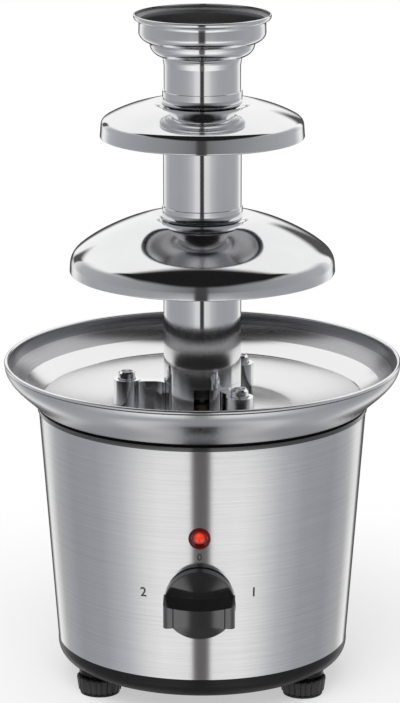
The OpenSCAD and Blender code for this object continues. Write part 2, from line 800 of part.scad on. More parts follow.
module motor_screws() {
    color(steel) motor_screw_places() {
        translate([0, 0, case_floor_z]) cylinder(r = screw_head_r, h = screw_head_h);
        translate([0, 0, case_under_z - motor_end_t + end_play])
            cylinder(r = screw_r, h = gearbox_t + motor_end_t - end_play);
    }
}

module tie_rods() {
    head_z = base_z + rod_head_sink;
    color(steel) around(rod_pitch_r, ear_angles) {
        translate([0, 0, head_z]) cylinder(r = rod_head_r, h = rod_head_h);
        translate([0, 0, head_z]) cylinder(r = rod_r, h = case_under_z + gearbox_t / 4 - head_z);
    }
}

// Bowl and heating

// Inside of the pan, from the shaft's hole out to the rim
function pan_path() = let (
    wall_z = ledge_z + 1.2,
    span = pan_crease_r - pan_flat_r,
    rim = [bowl_rim_r - 2 * bead_r + 0.1, rim_z - bead_r],
    up = rim - [pan_ledge_r, wall_z])
    concat([[bush_r + press_gap, pan_z], [pan_flat_r, pan_z]],
        curve([pan_flat_r + 1.5, pan_z + 0.1], [pan_flat_r + 0.45 * span, pan_z + 1.5],
            [pan_crease_r - 0.39 * span, ledge_z - 4.5], [pan_crease_r, ledge_z - 1.6], 10),
        [[pan_ledge_r - 1.6, ledge_z]],
        curve([pan_ledge_r, wall_z], [pan_ledge_r + up.x * 0.35, wall_z + up.y * 0.2],
            [rim.x - up.x * 0.12, rim.y - up.y * 0.45], rim, 10));

module bowl_pan() {
    color(polished) difference() {
        union() {
            turned_sheet(pan_path(), -sheet_t);
            translate([0, 0, rim_z - bead_r]) rotate_extrude()
                translate([bowl_rim_r - bead_r, 0]) circle(r = bead_r, $fn = 24);
        }
        around(ear_pitch_r, ear_angles) translate([0, 0, pan_under_z - 1])
            cylinder(r = stud_thread_r + press_gap, h = sheet_t + 2);
    }
}

// Outside of the skirt, from its flange on the gasket up to the bead
function skirt_path() = let (
    foot = [bowl_foot_r, skirt_z + 0.6],
    top = [bowl_rim_r - bead_r + sheet_t + press_gap, rim_z - 2 * bead_r - seat_gap],
    up = top - foot)
    concat([[housing_top_r - housing_lip_w, skirt_z], [bowl_foot_r - 1, skirt_z]],
        curve(foot, foot + [up.x * 0.62, up.y * 0.34], [top.x - up.x * 0.04, top.y - up.y * 0.38], top, 12));

module bowl_skirt() {
    color(polished) turned_sheet(skirt_path(), sheet_t);
}

module bowl_gasket() {
    color(black) translate([0, 0, housing_top_z])
        tube(housing_top_r + 0.4, housing_top_r - housing_lip_w, gasket_h);
}

module heater_plate() {
    hole_r = 13;
    groove = element_r + press_gap;
    color("lightgray") difference() {
        translate([0, 0, heater_under_z]) tube(heater_r, hole_r, heater_t);
        around(ear_pitch_r, ear_angles) translate([0, 0, heater_under_z - 1])
            cylinder(r = stud_thread_r + press_gap, h = heater_t + 2);
        translate([0, 0, heater_under_z - element_r / 2]) rotate_extrude()
            translate([element_ring_r, 0]) circle(r = groove, $fn = 32);
    }
}

module heating_element() {
    color("dimgray") translate([0, 0, heater_under_z - element_r / 2]) rotate(90 + element_gap / 2) {
        rotate_extrude(angle = 360 - element_gap) translate([element_ring_r, 0])
            circle(r = element_r, $fn = 32);
        for (a = [0, -element_gap]) rotate(a) translate([element_ring_r, 0, -element_tail])
            cylinder(r = element_r * 0.5, h = element_tail);
    }
}

module thermostat() {
    color("linen") translate([heater_r - thermostat_inset, 0, heater_under_z - thermostat_h]) {
        cylinder(r = thermostat_r, h = thermostat_h);
        translate([-tab_size.x / 2, -tab_size.y / 2, 0]) cube(tab_size);
    }
}

module thermal_fuse() {
    color("white") rotate(240)
        translate([heater_r - fuse_inset, -fuse_size.y / 2, heater_under_z - fuse_size.z]) cube(fuse_size);
}

// Drum

module housing() {
    top = housing_top_z;
    color(steel) difference() {
        turned([[housing_bottom_r, housing_z], [housing_top_r, top], [housing_top_r - housing_lip_w, top],
            [housing_top_r - housing_lip_w, top - housing_t],
            [wall_r(housing_h - housing_t) - housing_t, top - housing_t],
            [housing_bottom_r - housing_t, housing_z]]);
        on_wall(knob_z) translate([0, 0, -4]) cylinder(r = bush_thread_r + seat_gap, h = 8);
        on_wall(lamp_z) translate([0, 0, -4]) cylinder(r = lamp_neck_r + seat_gap, h = 8);
        on_wall(gland_z, 180) translate([0, 0, -4]) cylinder(r = gland_r + seat_gap, h = 8);
    }
}

module base_tray() {
    outer_r = housing_bottom_r;
    ring_r = housing_bottom_r - housing_t - slide_gap;
    edge_c = [outer_r - base_edge_r, base_z + base_edge_r];
    vent_w = 4;
    color(black) difference() {
        union() {
            turned(concat([[0, base_z]], arc(edge_c, base_edge_r, -90, 0, 10), [[outer_r, housing_z],
                [ring_r, housing_z], [ring_r, housing_z + base_ring_h],
                [ring_r - base_wall_t, housing_z + base_ring_h],
                [ring_r - base_wall_t, tray_floor_z + 2], [ring_r - base_wall_t - 2, tray_floor_z],
                [0, tray_floor_z]]));
            around(rod_pitch_r, ear_angles) translate([0, 0, base_z])
                cylinder(r = rod_boss_r, h = rod_boss_h);
            around(foot_pitch_r, foot_angles) translate([0, 0, base_z - foot_boss_h])
                cylinder(r = foot_boss_r, h = foot_boss_h + insert_h);
        }
        around(rod_pitch_r, ear_angles) translate([0, 0, base_z - 1]) {
            cylinder(r = rod_head_r + seat_gap, h = rod_head_h + rod_head_sink + 1);
            cylinder(r = rod_r + seat_gap, h = rod_boss_h + 2);
        }
        around(foot_pitch_r, foot_angles) translate([0, 0, base_z - foot_boss_h - 1])
            cylinder(r = insert_r + press_gap, h = foot_boss_h + insert_h + 2);
        for (side = [-1, 1], i = [-2:2]) translate([side * 12 - 9, i * 8 - vent_w / 2, base_z - 1])
            cube([18, vent_w, base_floor_t + 2]);
    }
}

module terminal_block() {
    way = block_size.x / 4;
    color("white") translate([-block_size.x / 2, block_front_y, tray_floor_z]) difference() {
        cube(block_size);
        for (i = [1:3]) translate([i * way, block_size.y / 2, block_size.z - block_socket])
            cylinder(r = 2, h = block_socket + 1);
    }
}

module cord_gland() {
    flange_h = 3;
    nose_h = 6;
    inside = 14;
    color(black) on_wall(gland_z, 180) difference() {
        union() {
            translate([0, 0, -inside]) cylinder(r = gland_r, h = inside + 1);
            translate([0, 0, seat_gap]) cylinder(r = gland_flange_r, h = flange_h);
            translate([0, 0, flange_h]) cylinder(r = gland_r - 0.5, h = nose_h - flange_h);
        }
        translate([0, 0, -inside - 1]) cylinder(r = gland_bore_r, h = inside + nose_h + 2);
    }
}

module gland_nut() {
    nut_h = 4;
    color(black) on_wall(gland_z, 180) translate([0, 0, -housing_t - gland_nut_gap - nut_h]) difference() {
        hexagon(gland_nut_af, nut_h);
        translate([0, 0, -1]) cylinder(r = gland_r + press_gap, h = nut_h + 2);
    }
}

// Controls

module knob() {
    corner_r = 5;
    edge = 1.2;
    face = knob_back + knob_disc_h;
    front = knob_back + knob_h;
    half_foot = knob_r - 0.5;
    half_front = grip_front_l / 2;
    side = [for (i = [-6:6]) let (u = i / 6)
        [u * knob_r, (grip_waist_t + (grip_end_t - grip_waist_t) * u^2) / 2]];
    color("black") on_wall(knob_z) difference() {
        union() {
            turned([[0, knob_back], [knob_r, knob_back], [knob_r, face - edge], [knob_r - edge, face],
                [0, face]]);
            intersection() {
                translate([0, knob_r, 0]) rotate([90, 0, 0]) linear_extrude(2 * knob_r) polygon(concat(
                    [[-half_foot, face - edge], [half_foot, face - edge]],
                    arc([half_front - corner_r, front - corner_r - 1], corner_r, 0, 80, 6),
                    [[0, front]],
                    arc([corner_r - half_front, front - corner_r - 1], corner_r, 100, 180, 6)));
                linear_extrude(front + 1) polygon(concat([for (p = side) [p.x, -p.y]], backwards(side)));
            }
        }
        translate([0, 0, knob_back - 1]) cylinder(r = knob_cavity_r, h = knob_cavity_h + 1);
        translate([0, 0, knob_back - 1])
            cylinder(r = spindle_r + press_gap, h = knob_disc_h + spindle_in + 1.5);
    }
}

module switch_spindle() {
    color(steel) on_wall(knob_z) translate([0, 0, -switch_gap - spindle_tail])
        cylinder(r = spindle_r, h = switch_gap + spindle_tail + knob_back + knob_disc_h + spindle_in);
}

module switch_body() {
    bush_front = 2.6;
    color("white") on_wall(knob_z) difference() {
        union() {
            translate([-switch_w / 2, -switch_w / 2, -switch_gap - housing_t - switch_h])
                cube([switch_w, switch_w, switch_h]);
            translate([0, 0, -switch_gap - housing_t - 1])
                cylinder(r = bush_thread_r, h = switch_gap + housing_t + 1 + bush_front);
        }
        translate([0, 0, -switch_gap - spindle_tail - 1])
            cylinder(r = spindle_r + run_gap, h = switch_gap + spindle_tail + bush_front + 2);
    }
}

module switch_nut() {
    nut_h = 2;
    color(steel) on_wall(knob_z) translate([0, 0, seat_gap]) difference() {
        hexagon(switch_nut_af, nut_h);
        translate([0, 0, -1]) cylinder(r = bush_thread_r + press_gap, h = nut_h + 2);
    }
}

module lamp_bezel() {
    bezel_h = 2.2;
    color("darkred") on_wall(lamp_z) difference() {
        union() {
            translate([0, 0, seat_gap]) turned([[0, 0], [bezel_r, 0], [bezel_r, bezel_h - 0.8],
                [bezel_r - 0.8, bezel_h], [0, bezel_h]]);
            translate([0, 0, -lamp_neck_l]) cylinder(r = lamp_neck_r, h = lamp_neck_l + 0.5);
        }
        translate([0, 0, lamp_seat]) cylinder(r = lens_r + press_gap, h = bezel_h);
        translate([0, 0, -lamp_neck_l - 1]) cylinder(r = lens_r - 1, h = lamp_neck_l + 3);
    }
}

module lamp_lens() {
    dome_h = 1.6;
    lens_h = 1.6;
    dome_r = (lens_r^2 + dome_h^2) / (2 * dome_h);
    color("orangered") on_wall(lamp_z) intersection() {
        translate([0, 0, lamp_seat]) cylinder(r = lens_r, h = lens_h + 2 * dome_h);
        translate([0, 0, lamp_seat + lens_h + dome_h - dome_r]) sphere(r = dome_r);
    }
}

module lamp_body() {
    tail = wall_r(lamp_z) - gearbox_out_r - lamp_gap;
    color("white") on_wall(lamp_z) {
        translate([0, 0, -tail]) cylinder(r = lamp_neck_r + lamp_flange, h = tail - lamp_neck_l);
        translate([0, 0, -lamp_neck_l]) cylinder(r = lens_r - 1 - press_gap, h = lamp_neck_l + lamp_seat);
    }
}

// A lead with round bends through its points
module lead(points, r) {
    for (i = [0:len(points) - 2]) let (d = points[i + 1] - points[i], l = norm(d)) {
        translate(points[i]) rotate([0, acos(d.z / l), atan2(d.y, d.x)]) cylinder(r = r, h = l, $fn = 24);
        if (i > 0) translate(points[i]) sphere(r = r * 1.03, $fn = 24);
    }
}

module inner_leads() {
    lead_r = 1;
    socket_z = tray_floor_z + block_size.z - block_socket;
    lane_z = tray_floor_z + block_size.z + 8;
    side_x = 38;
    back_x = -18;
    block_y = block_front_y + block_size.y / 2;
    way = block_size.x / 4;
    tail = element_ring_r * [-sin(element_gap / 2), cos(element_gap / 2)];
    tail_z = heater_under_z - element_r / 2 - element_tail;
    under_switch = wall_point(knob_z, [8, -switch_w / 2 - seat_gap, -switch_gap - housing_t - switch_h / 2]);
    color("tomato") {
        lead([[way, block_y, socket_z], [way, block_y, lane_z], [side_x, 20, lane_z],
            [side_x, under_switch.y, lane_z], under_switch - [0, 0, 8], under_switch], lead_r);
        lead([[0, block_y, socket_z], [0, block_y, lane_z], [motor_at.x, motor_at.y, lane_z],
            [motor_at.x, motor_at.y, motor_foot_z - motor_cap_h]], lead_r);
        lead([[-way, block_y, socket_z], [-way, block_y, lane_z], [back_x, gearbox_r + 12, lane_z],
            [back_x, gearbox_r + 12, cover_top_z + 6], [tail.x, tail.y, cover_top_z + 6],
            [tail.x, tail.y, tail_z]], lead_r);
    }
}

// Feet

module foot_inserts() {
    color("goldenrod") around(foot_pitch_r, foot_angles) translate([0, 0, base_z - foot_boss_h])
        tube(insert_r, stud_r + run_gap, foot_boss_h + insert_h);
}

module foot_pad(i) {
    color("black") around(foot_pitch_r, [foot_angles[i]]) {
        cylinder(r = foot_pad_r, h = foot_pad_h);
        cylinder(r = swivel_r, h = foot_pad_h + swivel_h);
    }
}

module foot_wheel(i) {
    groove_r = 0.9;
    lift = 0.3;
    rim = 2.5;
    stud_top = foot_wheel_h + foot_gap + foot_boss_h + insert_h + stud_spare;
    color("dimgray") around(foot_pitch_r, [foot_angles[i]]) translate([0, 0, foot_pad_h]) difference() {
        union() {
            difference() {
                translate([0, 0, lift])
                    cylinder(r1 = foot_wheel_low_r, r2 = foot_wheel_r, h = foot_wheel_h - lift);
                for (k = [1:foot_grooves]) rotate(360 * k / foot_grooves) translate([foot_wheel_r, 0, 0])
                    rotate([0, -atan((foot_wheel_r - foot_wheel_low_r) / foot_wheel_h), 0])
                        translate([0, 0, -foot_wheel_h])
                            cylinder(r = groove_r, h = 3 * foot_wheel_h, $fn = 16);
                translate([0, 0, foot_wheel_h - recess_h]) cylinder(r = foot_wheel_r - rim, h = recess_h + 1);
            }
            cylinder(r = foot_wheel_low_r - 2, h = 1);
            cylinder(r = stud_r + 3, h = foot_wheel_h - 0.5);
            translate([0, 0, foot_wheel_h - 1]) cylinder(r = stud_r, h = stud_top - foot_wheel_h + 1);
        }
        translate([0, 0, -1]) cylinder(r = swivel_r + slide_gap, h = swivel_h + 1 + slide_gap);
    }
}

module foot_pad_1() { foot_pad(0); }
module foot_pad_2() { foot_pad(1); }
module foot_pad_3() { foot_pad(2); }
module foot_wheel_1() { foot_wheel(0); }
module foot_wheel_2() { foot_wheel(1); }
module foot_wheel_3() { foot_wheel(2); }

crown();
upper_tier();
middle_sleeve();
lower_tier();
lower_sleeve();
riser_tube();
tower_base();
auger();
drive_shaft();
shaft_bush();
bush_nut();
shaft_seal();
bowl_pan();
bowl_skirt();
bowl_gasket();
locating_pins();
pin_washers();
heater_plate();
heating_element();
thermostat();
thermal_fuse();
standoffs();
gearbox_cover();
gearbox_case();
hanger_screws();
cover_screws();
output_gear();
idler_gear();
idler_pin();
rotor();
stator();
motor_can();
motor_cap();
motor_screws();
tie_rods();
housing();
base_tray();
terminal_block();
cord_gland();
gland_nut();
knob();
switch_spindle();
switch_body();
switch_nut();
lamp_bezel();
lamp_lens();
lamp_body();
inner_leads();
foot_inserts();
foot_pad_1();
foot_pad_2();
foot_pad_3();
foot_wheel_1();
foot_wheel_2();
foot_wheel_3();
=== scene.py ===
import math

import bmesh
import bpy
from mathutils import Matrix, Vector


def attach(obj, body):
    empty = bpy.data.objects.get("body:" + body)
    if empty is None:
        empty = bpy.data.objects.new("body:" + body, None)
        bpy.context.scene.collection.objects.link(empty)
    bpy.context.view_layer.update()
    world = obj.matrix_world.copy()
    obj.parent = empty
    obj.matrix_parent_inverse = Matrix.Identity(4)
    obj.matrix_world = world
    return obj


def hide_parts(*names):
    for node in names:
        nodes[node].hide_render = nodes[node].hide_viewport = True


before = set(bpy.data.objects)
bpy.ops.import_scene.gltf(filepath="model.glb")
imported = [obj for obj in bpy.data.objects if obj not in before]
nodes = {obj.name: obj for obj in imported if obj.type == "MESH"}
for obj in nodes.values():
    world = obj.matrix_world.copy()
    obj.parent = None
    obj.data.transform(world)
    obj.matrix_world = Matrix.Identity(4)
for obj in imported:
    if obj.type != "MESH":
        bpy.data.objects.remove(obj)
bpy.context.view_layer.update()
mm = 0.001
scene = bpy.context.scene
scene.view_settings.view_transform = "Standard"

# Camera at the photograph's angle: long lens, looking down into the bowl
cameraSet = {"side": -0.0013, "back": 1.700, "height": 0.6353, "orbit": 1.0, "pitch": 14.733, "lens": 162.07,
             "sensor": 36.0}
orbit = math.radians(cameraSet["orbit"])
stand = Vector((cameraSet["side"], -cameraSet["back"], cameraSet["height"]))
cam = bpy.data.objects.new("Camera", bpy.data.cameras.new("Camera"))
cam.location = Matrix.Rotation(orbit, 4, "Z") @ stand
cam.rotation_euler = (math.radians(90 - cameraSet["pitch"]), 0, orbit)
cam.data.lens = cameraSet["lens"]
cam.data.sensor_width = cameraSet["sensor"]
scene.collection.objects.link(cam)
scene.camera = cam


class Sock:  # an output socket that takes Python arithmetic
    def __init__(self, finish, out):
        self.finish = finish
        self.out = out

    def also(self, name):  # another output of the same node
        return Sock(self.finish, self.out.node.outputs[name])

    def __add__(self, other):
        return self.finish.math("ADD", self, other)

    def __sub__(self, other):
        return self.finish.math("SUBTRACT", self, other)

    def __rsub__(self, other):
        return self.finish.math("SUBTRACT", other, self)

    def __mul__(self, other):
        return self.finish.math("MULTIPLY", self, other)

    def __truediv__(self, other):
        return self.finish.math("DIVIDE", self, other)

    def __neg__(self):
        return self.finish.math("MULTIPLY", self, -1.0)

    __radd__ = __add__
    __rmul__ = __mul__


class Finish:  # a material or world while its nodes are being laid
    def __init__(self, name, world=False):
        self.data = (bpy.data.worlds if world else bpy.data.materials).new(name)
        self.data.use_nodes = True
        self.tree = self.data.node_tree
        self.tree.nodes.clear()

    def add(self, kind, settings=None, sockets=None, give=0):  # any node: settings first, then sockets
        node = self.tree.nodes.new("ShaderNode" + kind)
        for key, value in (settings or {}).items():
            if key == "stops":
                ramp = node.color_ramp
                while len(ramp.elements) < len(value):
                    ramp.elements.new(0.5)
                for stop, (place, colour) in zip(ramp.elements, value):
                    stop.position = place
                    stop.color = colour
            else:
                setattr(node, key, value)
        for key, value in (sockets or {}).items():
            if isinstance(value, Sock):
                self.tree.links.new(value.out, node.inputs[key])
            else:
                node.inputs[key].default_value = value
        return Sock(self, node.outputs[give]) if len(node.outputs) else None

    def math(self, operation, *values):
        return self.add("Math", {"operation": operation}, dict(enumerate(values)))

    def clamp(self, value, low=0.0, high=1.0):
        return self.math("MINIMUM", self.math("MAXIMUM", value, low), high)

    def span(self, value, low, high, toLow=0.0, toHigh=1.0):  # smooth step from low to high
        return self.add("MapRange", {"interpolation_type": "SMOOTHSTEP"},
                        {0: value, 1: low, 2: high, 3: toLow, 4: toHigh})

    def stepped(self, value, start, steps):  # start, then a smooth rise over each step (low, high, rise)
        for low, high, rise in steps:
            start = start + self.span(value, low, high, 0.0, rise)
        return start

    def tint(self, factor, first, second):  # colour between first and second
        return self.add("Mix", {"data_type": "RGBA"}, {0: factor, 6: first, 7: second}, give=2)

    def noise(self, vector, scale, detail=3.0, rough=0.55):
        return self.add("TexNoise", None,
                        {"Vector": vector, "Scale": scale, "Detail": detail, "Roughness": rough}, give="Fac")

    def bump(self, height, strength, distance):
        return self.add("Bump", None, {"Height": height, "Strength": strength, "Distance": distance})

    def surface(self, **sockets):  # principled shader and output; underscores stand for spaces
        named = {key.replace("_", " "): value for key, value in sockets.items()}
        shader = self.add("BsdfPrincipled", None, named)
        self.add("OutputMaterial", None, {"Surface": shader})
        return self.data


def grey(level):
    return (level, level, level, 1)


def cool(level, blue=0.03):  # grey with a little blue
    return (level, level + 0.005, level + blue, 1)


grainSet = {"leanX": 1.3, "leanY": 0.8, "detail": 4.0, "rough": 0.62, "depth": 0.0001}


def turnedGrain(f, across, along):  # streaks that run round the Z axis, as a polishing wheel leaves them
    pos = f.add("TexCoord", give="Object")
    flat = f.add("VectorMath", {"operation": "MULTIPLY"}, {0: pos, 1: (1, 1, 0)})
    radius = f.add("VectorMath", {"operation": "LENGTH"}, {0: flat}, give="Value")
    x = f.add("SeparateXYZ", None, {0: pos}, give="X")
    y = x.also("Y")
    z = x.also("Z")
    drift = (x * grainSet["leanX"] + y * grainSet["leanY"]) * along
    coord = f.add("CombineXYZ", None, {"X": radius * across, "Y": z * across, "Z": drift})
    return f.noise(coord, 1.0, grainSet["detail"], grainSet["rough"])


def cloud(f, scale, detail=2.0):  # slow unevenness
    return f.noise(f.add("TexCoord", give="Object"), scale, detail)


# Finishes of the steel pieces: across and along space the streaks, marks is the strength of their bump
mirrorSet = {"bright": (0.87, 0.87, 0.875, 1), "dull": (0.81, 0.812, 0.82, 1), "rough": 0.055, "wander": 0.05,
             "across": 2600, "along": 30, "cloud": 22, "spread": (0.35, 0.7), "marks": 0.02}


def mirrorSteel():  # tower pieces: buffed to a mirror, with faint wheel marks
    f = Finish("mirror_steel")
    streak = turnedGrain(f, mirrorSet["across"], mirrorSet["along"])
    haze = cloud(f, mirrorSet["cloud"])
    tone = f.tint(f.span(haze, *mirrorSet["spread"]), mirrorSet["bright"], mirrorSet["dull"])
    return f.surface(Base_Color=tone, Metallic=1.0,
                     Roughness=mirrorSet["rough"] + mirrorSet["wander"] * streak * haze,
                     Normal=f.bump(streak, mirrorSet["marks"], grainSet["depth"]))


# The taper and lining colours are darker than the mirror steel's: painted shade and painted dark reflection
taperSet = {"name": "taper_steel_painted_shade", "bright": (0.50, 0.50, 0.51, 1), "dull": (0.42, 0.42, 0.43, 1),
            "rough": 0.10, "wander": 0.14, "across": 2200, "along": 28, "marks": 0.03}
liningSet = {"name": "lining_steel_painted_shade", "bright": grey(0.34), "dull": grey(0.26), "rough": 0.36, "wander": 0.16,
             "across": 1500, "along": 24, "marks": 0.05}


def shadePaintedSteel(kind):  # tapers, undersides and the crown's inside: rougher steel whose darker base colour is painted shade and painted dark reflection
    f = Finish(kind["name"])
    streak = turnedGrain(f, kind["across"], kind["along"])
    return f.surface(Base_Color=f.tint(streak, kind["bright"], kind["dull"]), Metallic=1.0,
                     Roughness=kind["rough"] + kind["wander"] * streak,
                     Normal=f.bump(streak, kind["marks"], grainSet["depth"]))


satinSet = {"across": 1900, "along": 24, "cloud": 14, "marks": 0.05}
floorSet = {"name": "bowl_steel", "bright": grey(0.88), "dull": grey(0.83), "rough": 0.13, "wander": 0.12}
# The wall and the band are the same sheet as the floor; their darker colours are painted dark reflection
wallSet = {"name": "wall_steel_painted_reflection", "bright": (0.50, 0.50, 0.51, 1), "dull": (0.42, 0.42, 0.43, 1),
           "rough": 0.25, "wander": 0.12}
bandSet = {"name": "band_steel_painted_reflection", "bright": (0.30, 0.30, 0.31, 1), "dull": (0.24, 0.24, 0.25, 1),
           "rough": 0.24, "wander": 0.14}
skirtSet = {"name": "skirt_steel", "bright": (0.78, 0.78, 0.785, 1), "dull": (0.70, 0.70, 0.71, 1),
            "rough": 0.20, "wander": 0.12}


def satinSteel(kind):  # bowl floor, its wall and its skirt: turned marks, each duller than a mirror; the darker base colours of the wall and of the band under the bead are painted dark reflection
    f = Finish(kind["name"])
    streak = turnedGrain(f, satinSet["across"], satinSet["along"])
    haze = cloud(f, satinSet["cloud"])
    return f.surface(Base_Color=f.tint(streak, kind["bright"], kind["dull"]), Metallic=1.0,
                     Roughness=kind["rough"] + kind["wander"] * streak * haze,
                     Normal=f.bump(streak, satinSet["marks"], grainSet["depth"]))


brushedSet = {"bright": (0.79, 0.79, 0.795, 1), "dull": (0.69, 0.69, 0.695, 1), "rough": 0.085,
              "wander": 0.07, "spread": (0.3, 0.72), "marks": 0.05,
              "fineAcross": 3200, "fineAlong": 26, "fineShare": 0.6,
              "broadAcross": 760, "broadAlong": 9, "broadShare": 0.4}


def brushedSteel():  # drum wall: brushed round the drum, long fine lines
    f = Finish("drum_steel")
    fine = turnedGrain(f, brushedSet["fineAcross"], brushedSet["fineAlong"])
    broad = turnedGrain(f, brushedSet["broadAcross"], brushedSet["broadAlong"])
    grain = fine * brushedSet["fineShare"] + broad * brushedSet["broadShare"]
    tone = f.tint(f.span(grain, *brushedSet["spread"]), brushedSet["bright"], brushedSet["dull"])
    return f.surface(Base_Color=tone, Metallic=1.0,
                     Roughness=brushedSet["rough"] + brushedSet["wander"] * grain,
                     Normal=f.bump(grain, brushedSet["marks"], grainSet["depth"]))


# Finishes of the other pieces
spotSet = {"detail": 4.0, "depth": 0.0002}


def spottedMetal(name, light, dark, rough, wander=0.15, scale=300, marks=0.06):  # rods, castings, brass
    f = Finish(name)
    mark = cloud(f, scale, spotSet["detail"])
    return f.surface(Base_Color=f.tint(mark, light, dark), Metallic=1.0, Roughness=rough + wander * mark,
                     Normal=f.bump(mark, marks, spotSet["depth"]))


mouldSet = {"detail": 3.0, "wear": 35, "spread": (0.3, 0.75), "fleckRough": 0.12, "wearRough": 0.06,
            "coatRough": 0.06, "depth": 0.0003}


def moulded(name, light, dark, rough, grain, marks, coat=0.0, shine=0.5, coatIor=1.5):  # plastic and rubber
    f = Finish(name)
    fleck = cloud(f, grain, mouldSet["detail"])
    wear = cloud(f, mouldSet["wear"], mouldSet["detail"])
    return f.surface(Base_Color=f.tint(f.span(wear, *mouldSet["spread"]), light, dark), Metallic=0.0,
                     Roughness=rough + mouldSet["fleckRough"] * (fleck - 0.5) + mouldSet["wearRough"] * wear,
                     Specular_IOR_Level=shine, Coat_Weight=coat, Coat_Roughness=mouldSet["coatRough"],
                     Coat_IOR=coatIor, Normal=f.bump(fleck, marks, mouldSet["depth"]))


windingSet = {"iron": (0.16, 0.15, 0.15, 1), "copper": (0.45, 0.20, 0.08, 1), "across": 1500, "along": 60,
              "spread": (0.42, 0.58), "metallic": 0.6, "rough": 0.35, "wander": 0.2, "marks": 0.2,
              "depth": 0.0004}


def windings():  # varnished copper over dark laminations
    f = Finish("windings")
    band = turnedGrain(f, windingSet["across"], windingSet["along"])
    tone = f.tint(f.span(band, *windingSet["spread"]), windingSet["iron"], windingSet["copper"])
    return f.surface(Base_Color=tone, Metallic=windingSet["metallic"],
                     Roughness=windingSet["rough"] + windingSet["wander"] * band,
                     Normal=f.bump(band, windingSet["marks"], windingSet["depth"]))


steelMirror = mirrorSteel()
steelLiningShaded = shadePaintedSteel(liningSet)
steelTaperShaded = shadePaintedSteel(taperSet)
steelBowl = satinSteel(floorSet)
steelWall = satinSteel(wallSet)
steelBand = satinSteel(bandSet)
steelSkirt = satinSteel(skirtSet)
steelDrum = brushedSteel()
steelPlain = spottedMetal("plain_steel", (0.60, 0.60, 0.61, 1), (0.46, 0.46, 0.47, 1), 0.24, 0.16, 420, 0.05)
blackGloss = moulded("black_gloss", grey(0.008), grey(0.012), 0.14, 1600, 0.012, coat=1.0, coatIor=1.85)
blackSatin = moulded("black_satin", grey(0.005), grey(0.008), 0.28, 1400, 0.03, shine=0.28)
glossRubber = moulded("gloss_rubber", grey(0.008), grey(0.012), 0.24, 1800, 0.02, coat=0.7, shine=0.7,
                      coatIor=1.85)
blackRubber = moulded("black_rubber", grey(0.010), grey(0.017), 0.55, 1800, 0.06)
blackFoot = moulded("black_foot", grey(0.020), grey(0.032), 0.30, 1500, 0.05)
print("finishes laid")

# Paths and turned pieces, in millimetres
axisR = 1e-6  # a point nearer than this is on the axis
mitreLimit = 0.3
sharpAngle = math.radians(32)
tubeSteps = 192  # faces round a tube, a dome and the bowl
domeSteps = 224
bowlSteps = 256
cutSteps = 64


def points(*pairs):
    return [Vector(pair) for pair in pairs]


def shifted(x, z, *moves):  # points at these moves from (x, z)
    return [Vector((x + right, z + up)) for right, up in moves]


def bezier(start, pull, push, end, steps):
    start, pull, push, end = (Vector(v) for v in (start, pull, push, end))
    path = []
    for i in range(steps + 1):
        t = i / steps
        u = 1 - t
        path.append(u ** 3 * start + 3 * u * u * t * pull + 3 * u * t * t * push + t ** 3 * end)
    return path


def flare(start, end, pull, push, steps):  # a curve whose handles are shares of its own run
    run = end - start
    return bezier(start, start + Vector((run.x * pull[0], run.y * pull[1])),
                  end - Vector((run.x * push[0], run.y * push[1])), end, steps)


def arc(centre, radius, first, last, steps):
    path = []
    for i in range(steps + 1):
        angle = math.radians(first + (last - first) * i / steps)
        path.append(Vector(centre) + radius * Vector((math.cos(angle), math.sin(angle))))
    return path


def sideways(path, gap):  # the path moved to its left by gap, mitred
    moved = []
    last = len(path) - 1
    for i, point in enumerate(path):
        before = (path[max(i, 1)] - path[max(i, 1) - 1]).normalized()
        after = (path[min(i, last - 1) + 1] - path[min(i, last - 1)]).normalized()
        leftBefore = Vector((-before.y, before.x))
        leftAfter = Vector((-after.y, after.x))
        mitre = (leftBefore + leftAfter).normalized()
        moved.append(point + gap * mitre / max(mitre.dot(leftBefore), mitreLimit))
    return moved


def sheetLoop(path, thickness):  # closed outline of the sheet that follows a path
    return path + list(reversed(sideways(path, thickness)))


# A closed outline (r, z) turned about Z; shape bends its rings, lining gives each row its finish
def turnedMesh(loop, steps=tubeSteps, place=None, shape=None, lining=None):
    bm = bmesh.new()
    rings = []
    for point in loop:
        if point.x < axisR:
            rings.append([bm.verts.new((0, 0, point.y * mm))])
            continue
        ring = []
        for i in range(steps):
            angle = 2 * math.pi * i / steps
            radius = (shape(point.x, angle) if shape else point.x) * mm
            ring.append(bm.verts.new((radius * math.cos(angle), radius * math.sin(angle), point.y * mm)))
        rings.append(ring)
    for row, (ring, after) in enumerate(zip(rings, rings[1:] + rings[:1])):
        for i in range(steps):
            n = (i + 1) % steps
            if len(ring) > 1 and len(after) > 1:
                face = bm.faces.new((ring[i], ring[n], after[n], after[i]))
                face.material_index = lining(row) if lining else 0
            elif len(ring) > 1:
                bm.faces.new((ring[i], ring[n], after[0]))
            elif len(after) > 1:
                bm.faces.new((ring[0], after[n], after[i]))
    if place:
        bmesh.ops.transform(bm, matrix=place, verts=bm.verts)
    return bm


def smooth(mesh):  # soft shading, with the creases kept sharp
    for face in mesh.polygons:
        face.use_smooth = True
    mesh.set_sharp_from_angle(angle=sharpAngle)


def meshPiece(name, bm):
    bmesh.ops.recalc_face_normals(bm, faces=bm.faces)
    mesh = bpy.data.meshes.new(name)
    bm.to_mesh(mesh)
    bm.free()
    smooth(mesh)
    piece = bpy.data.objects.new(name, mesh)
    scene.collection.objects.link(piece)
    return piece


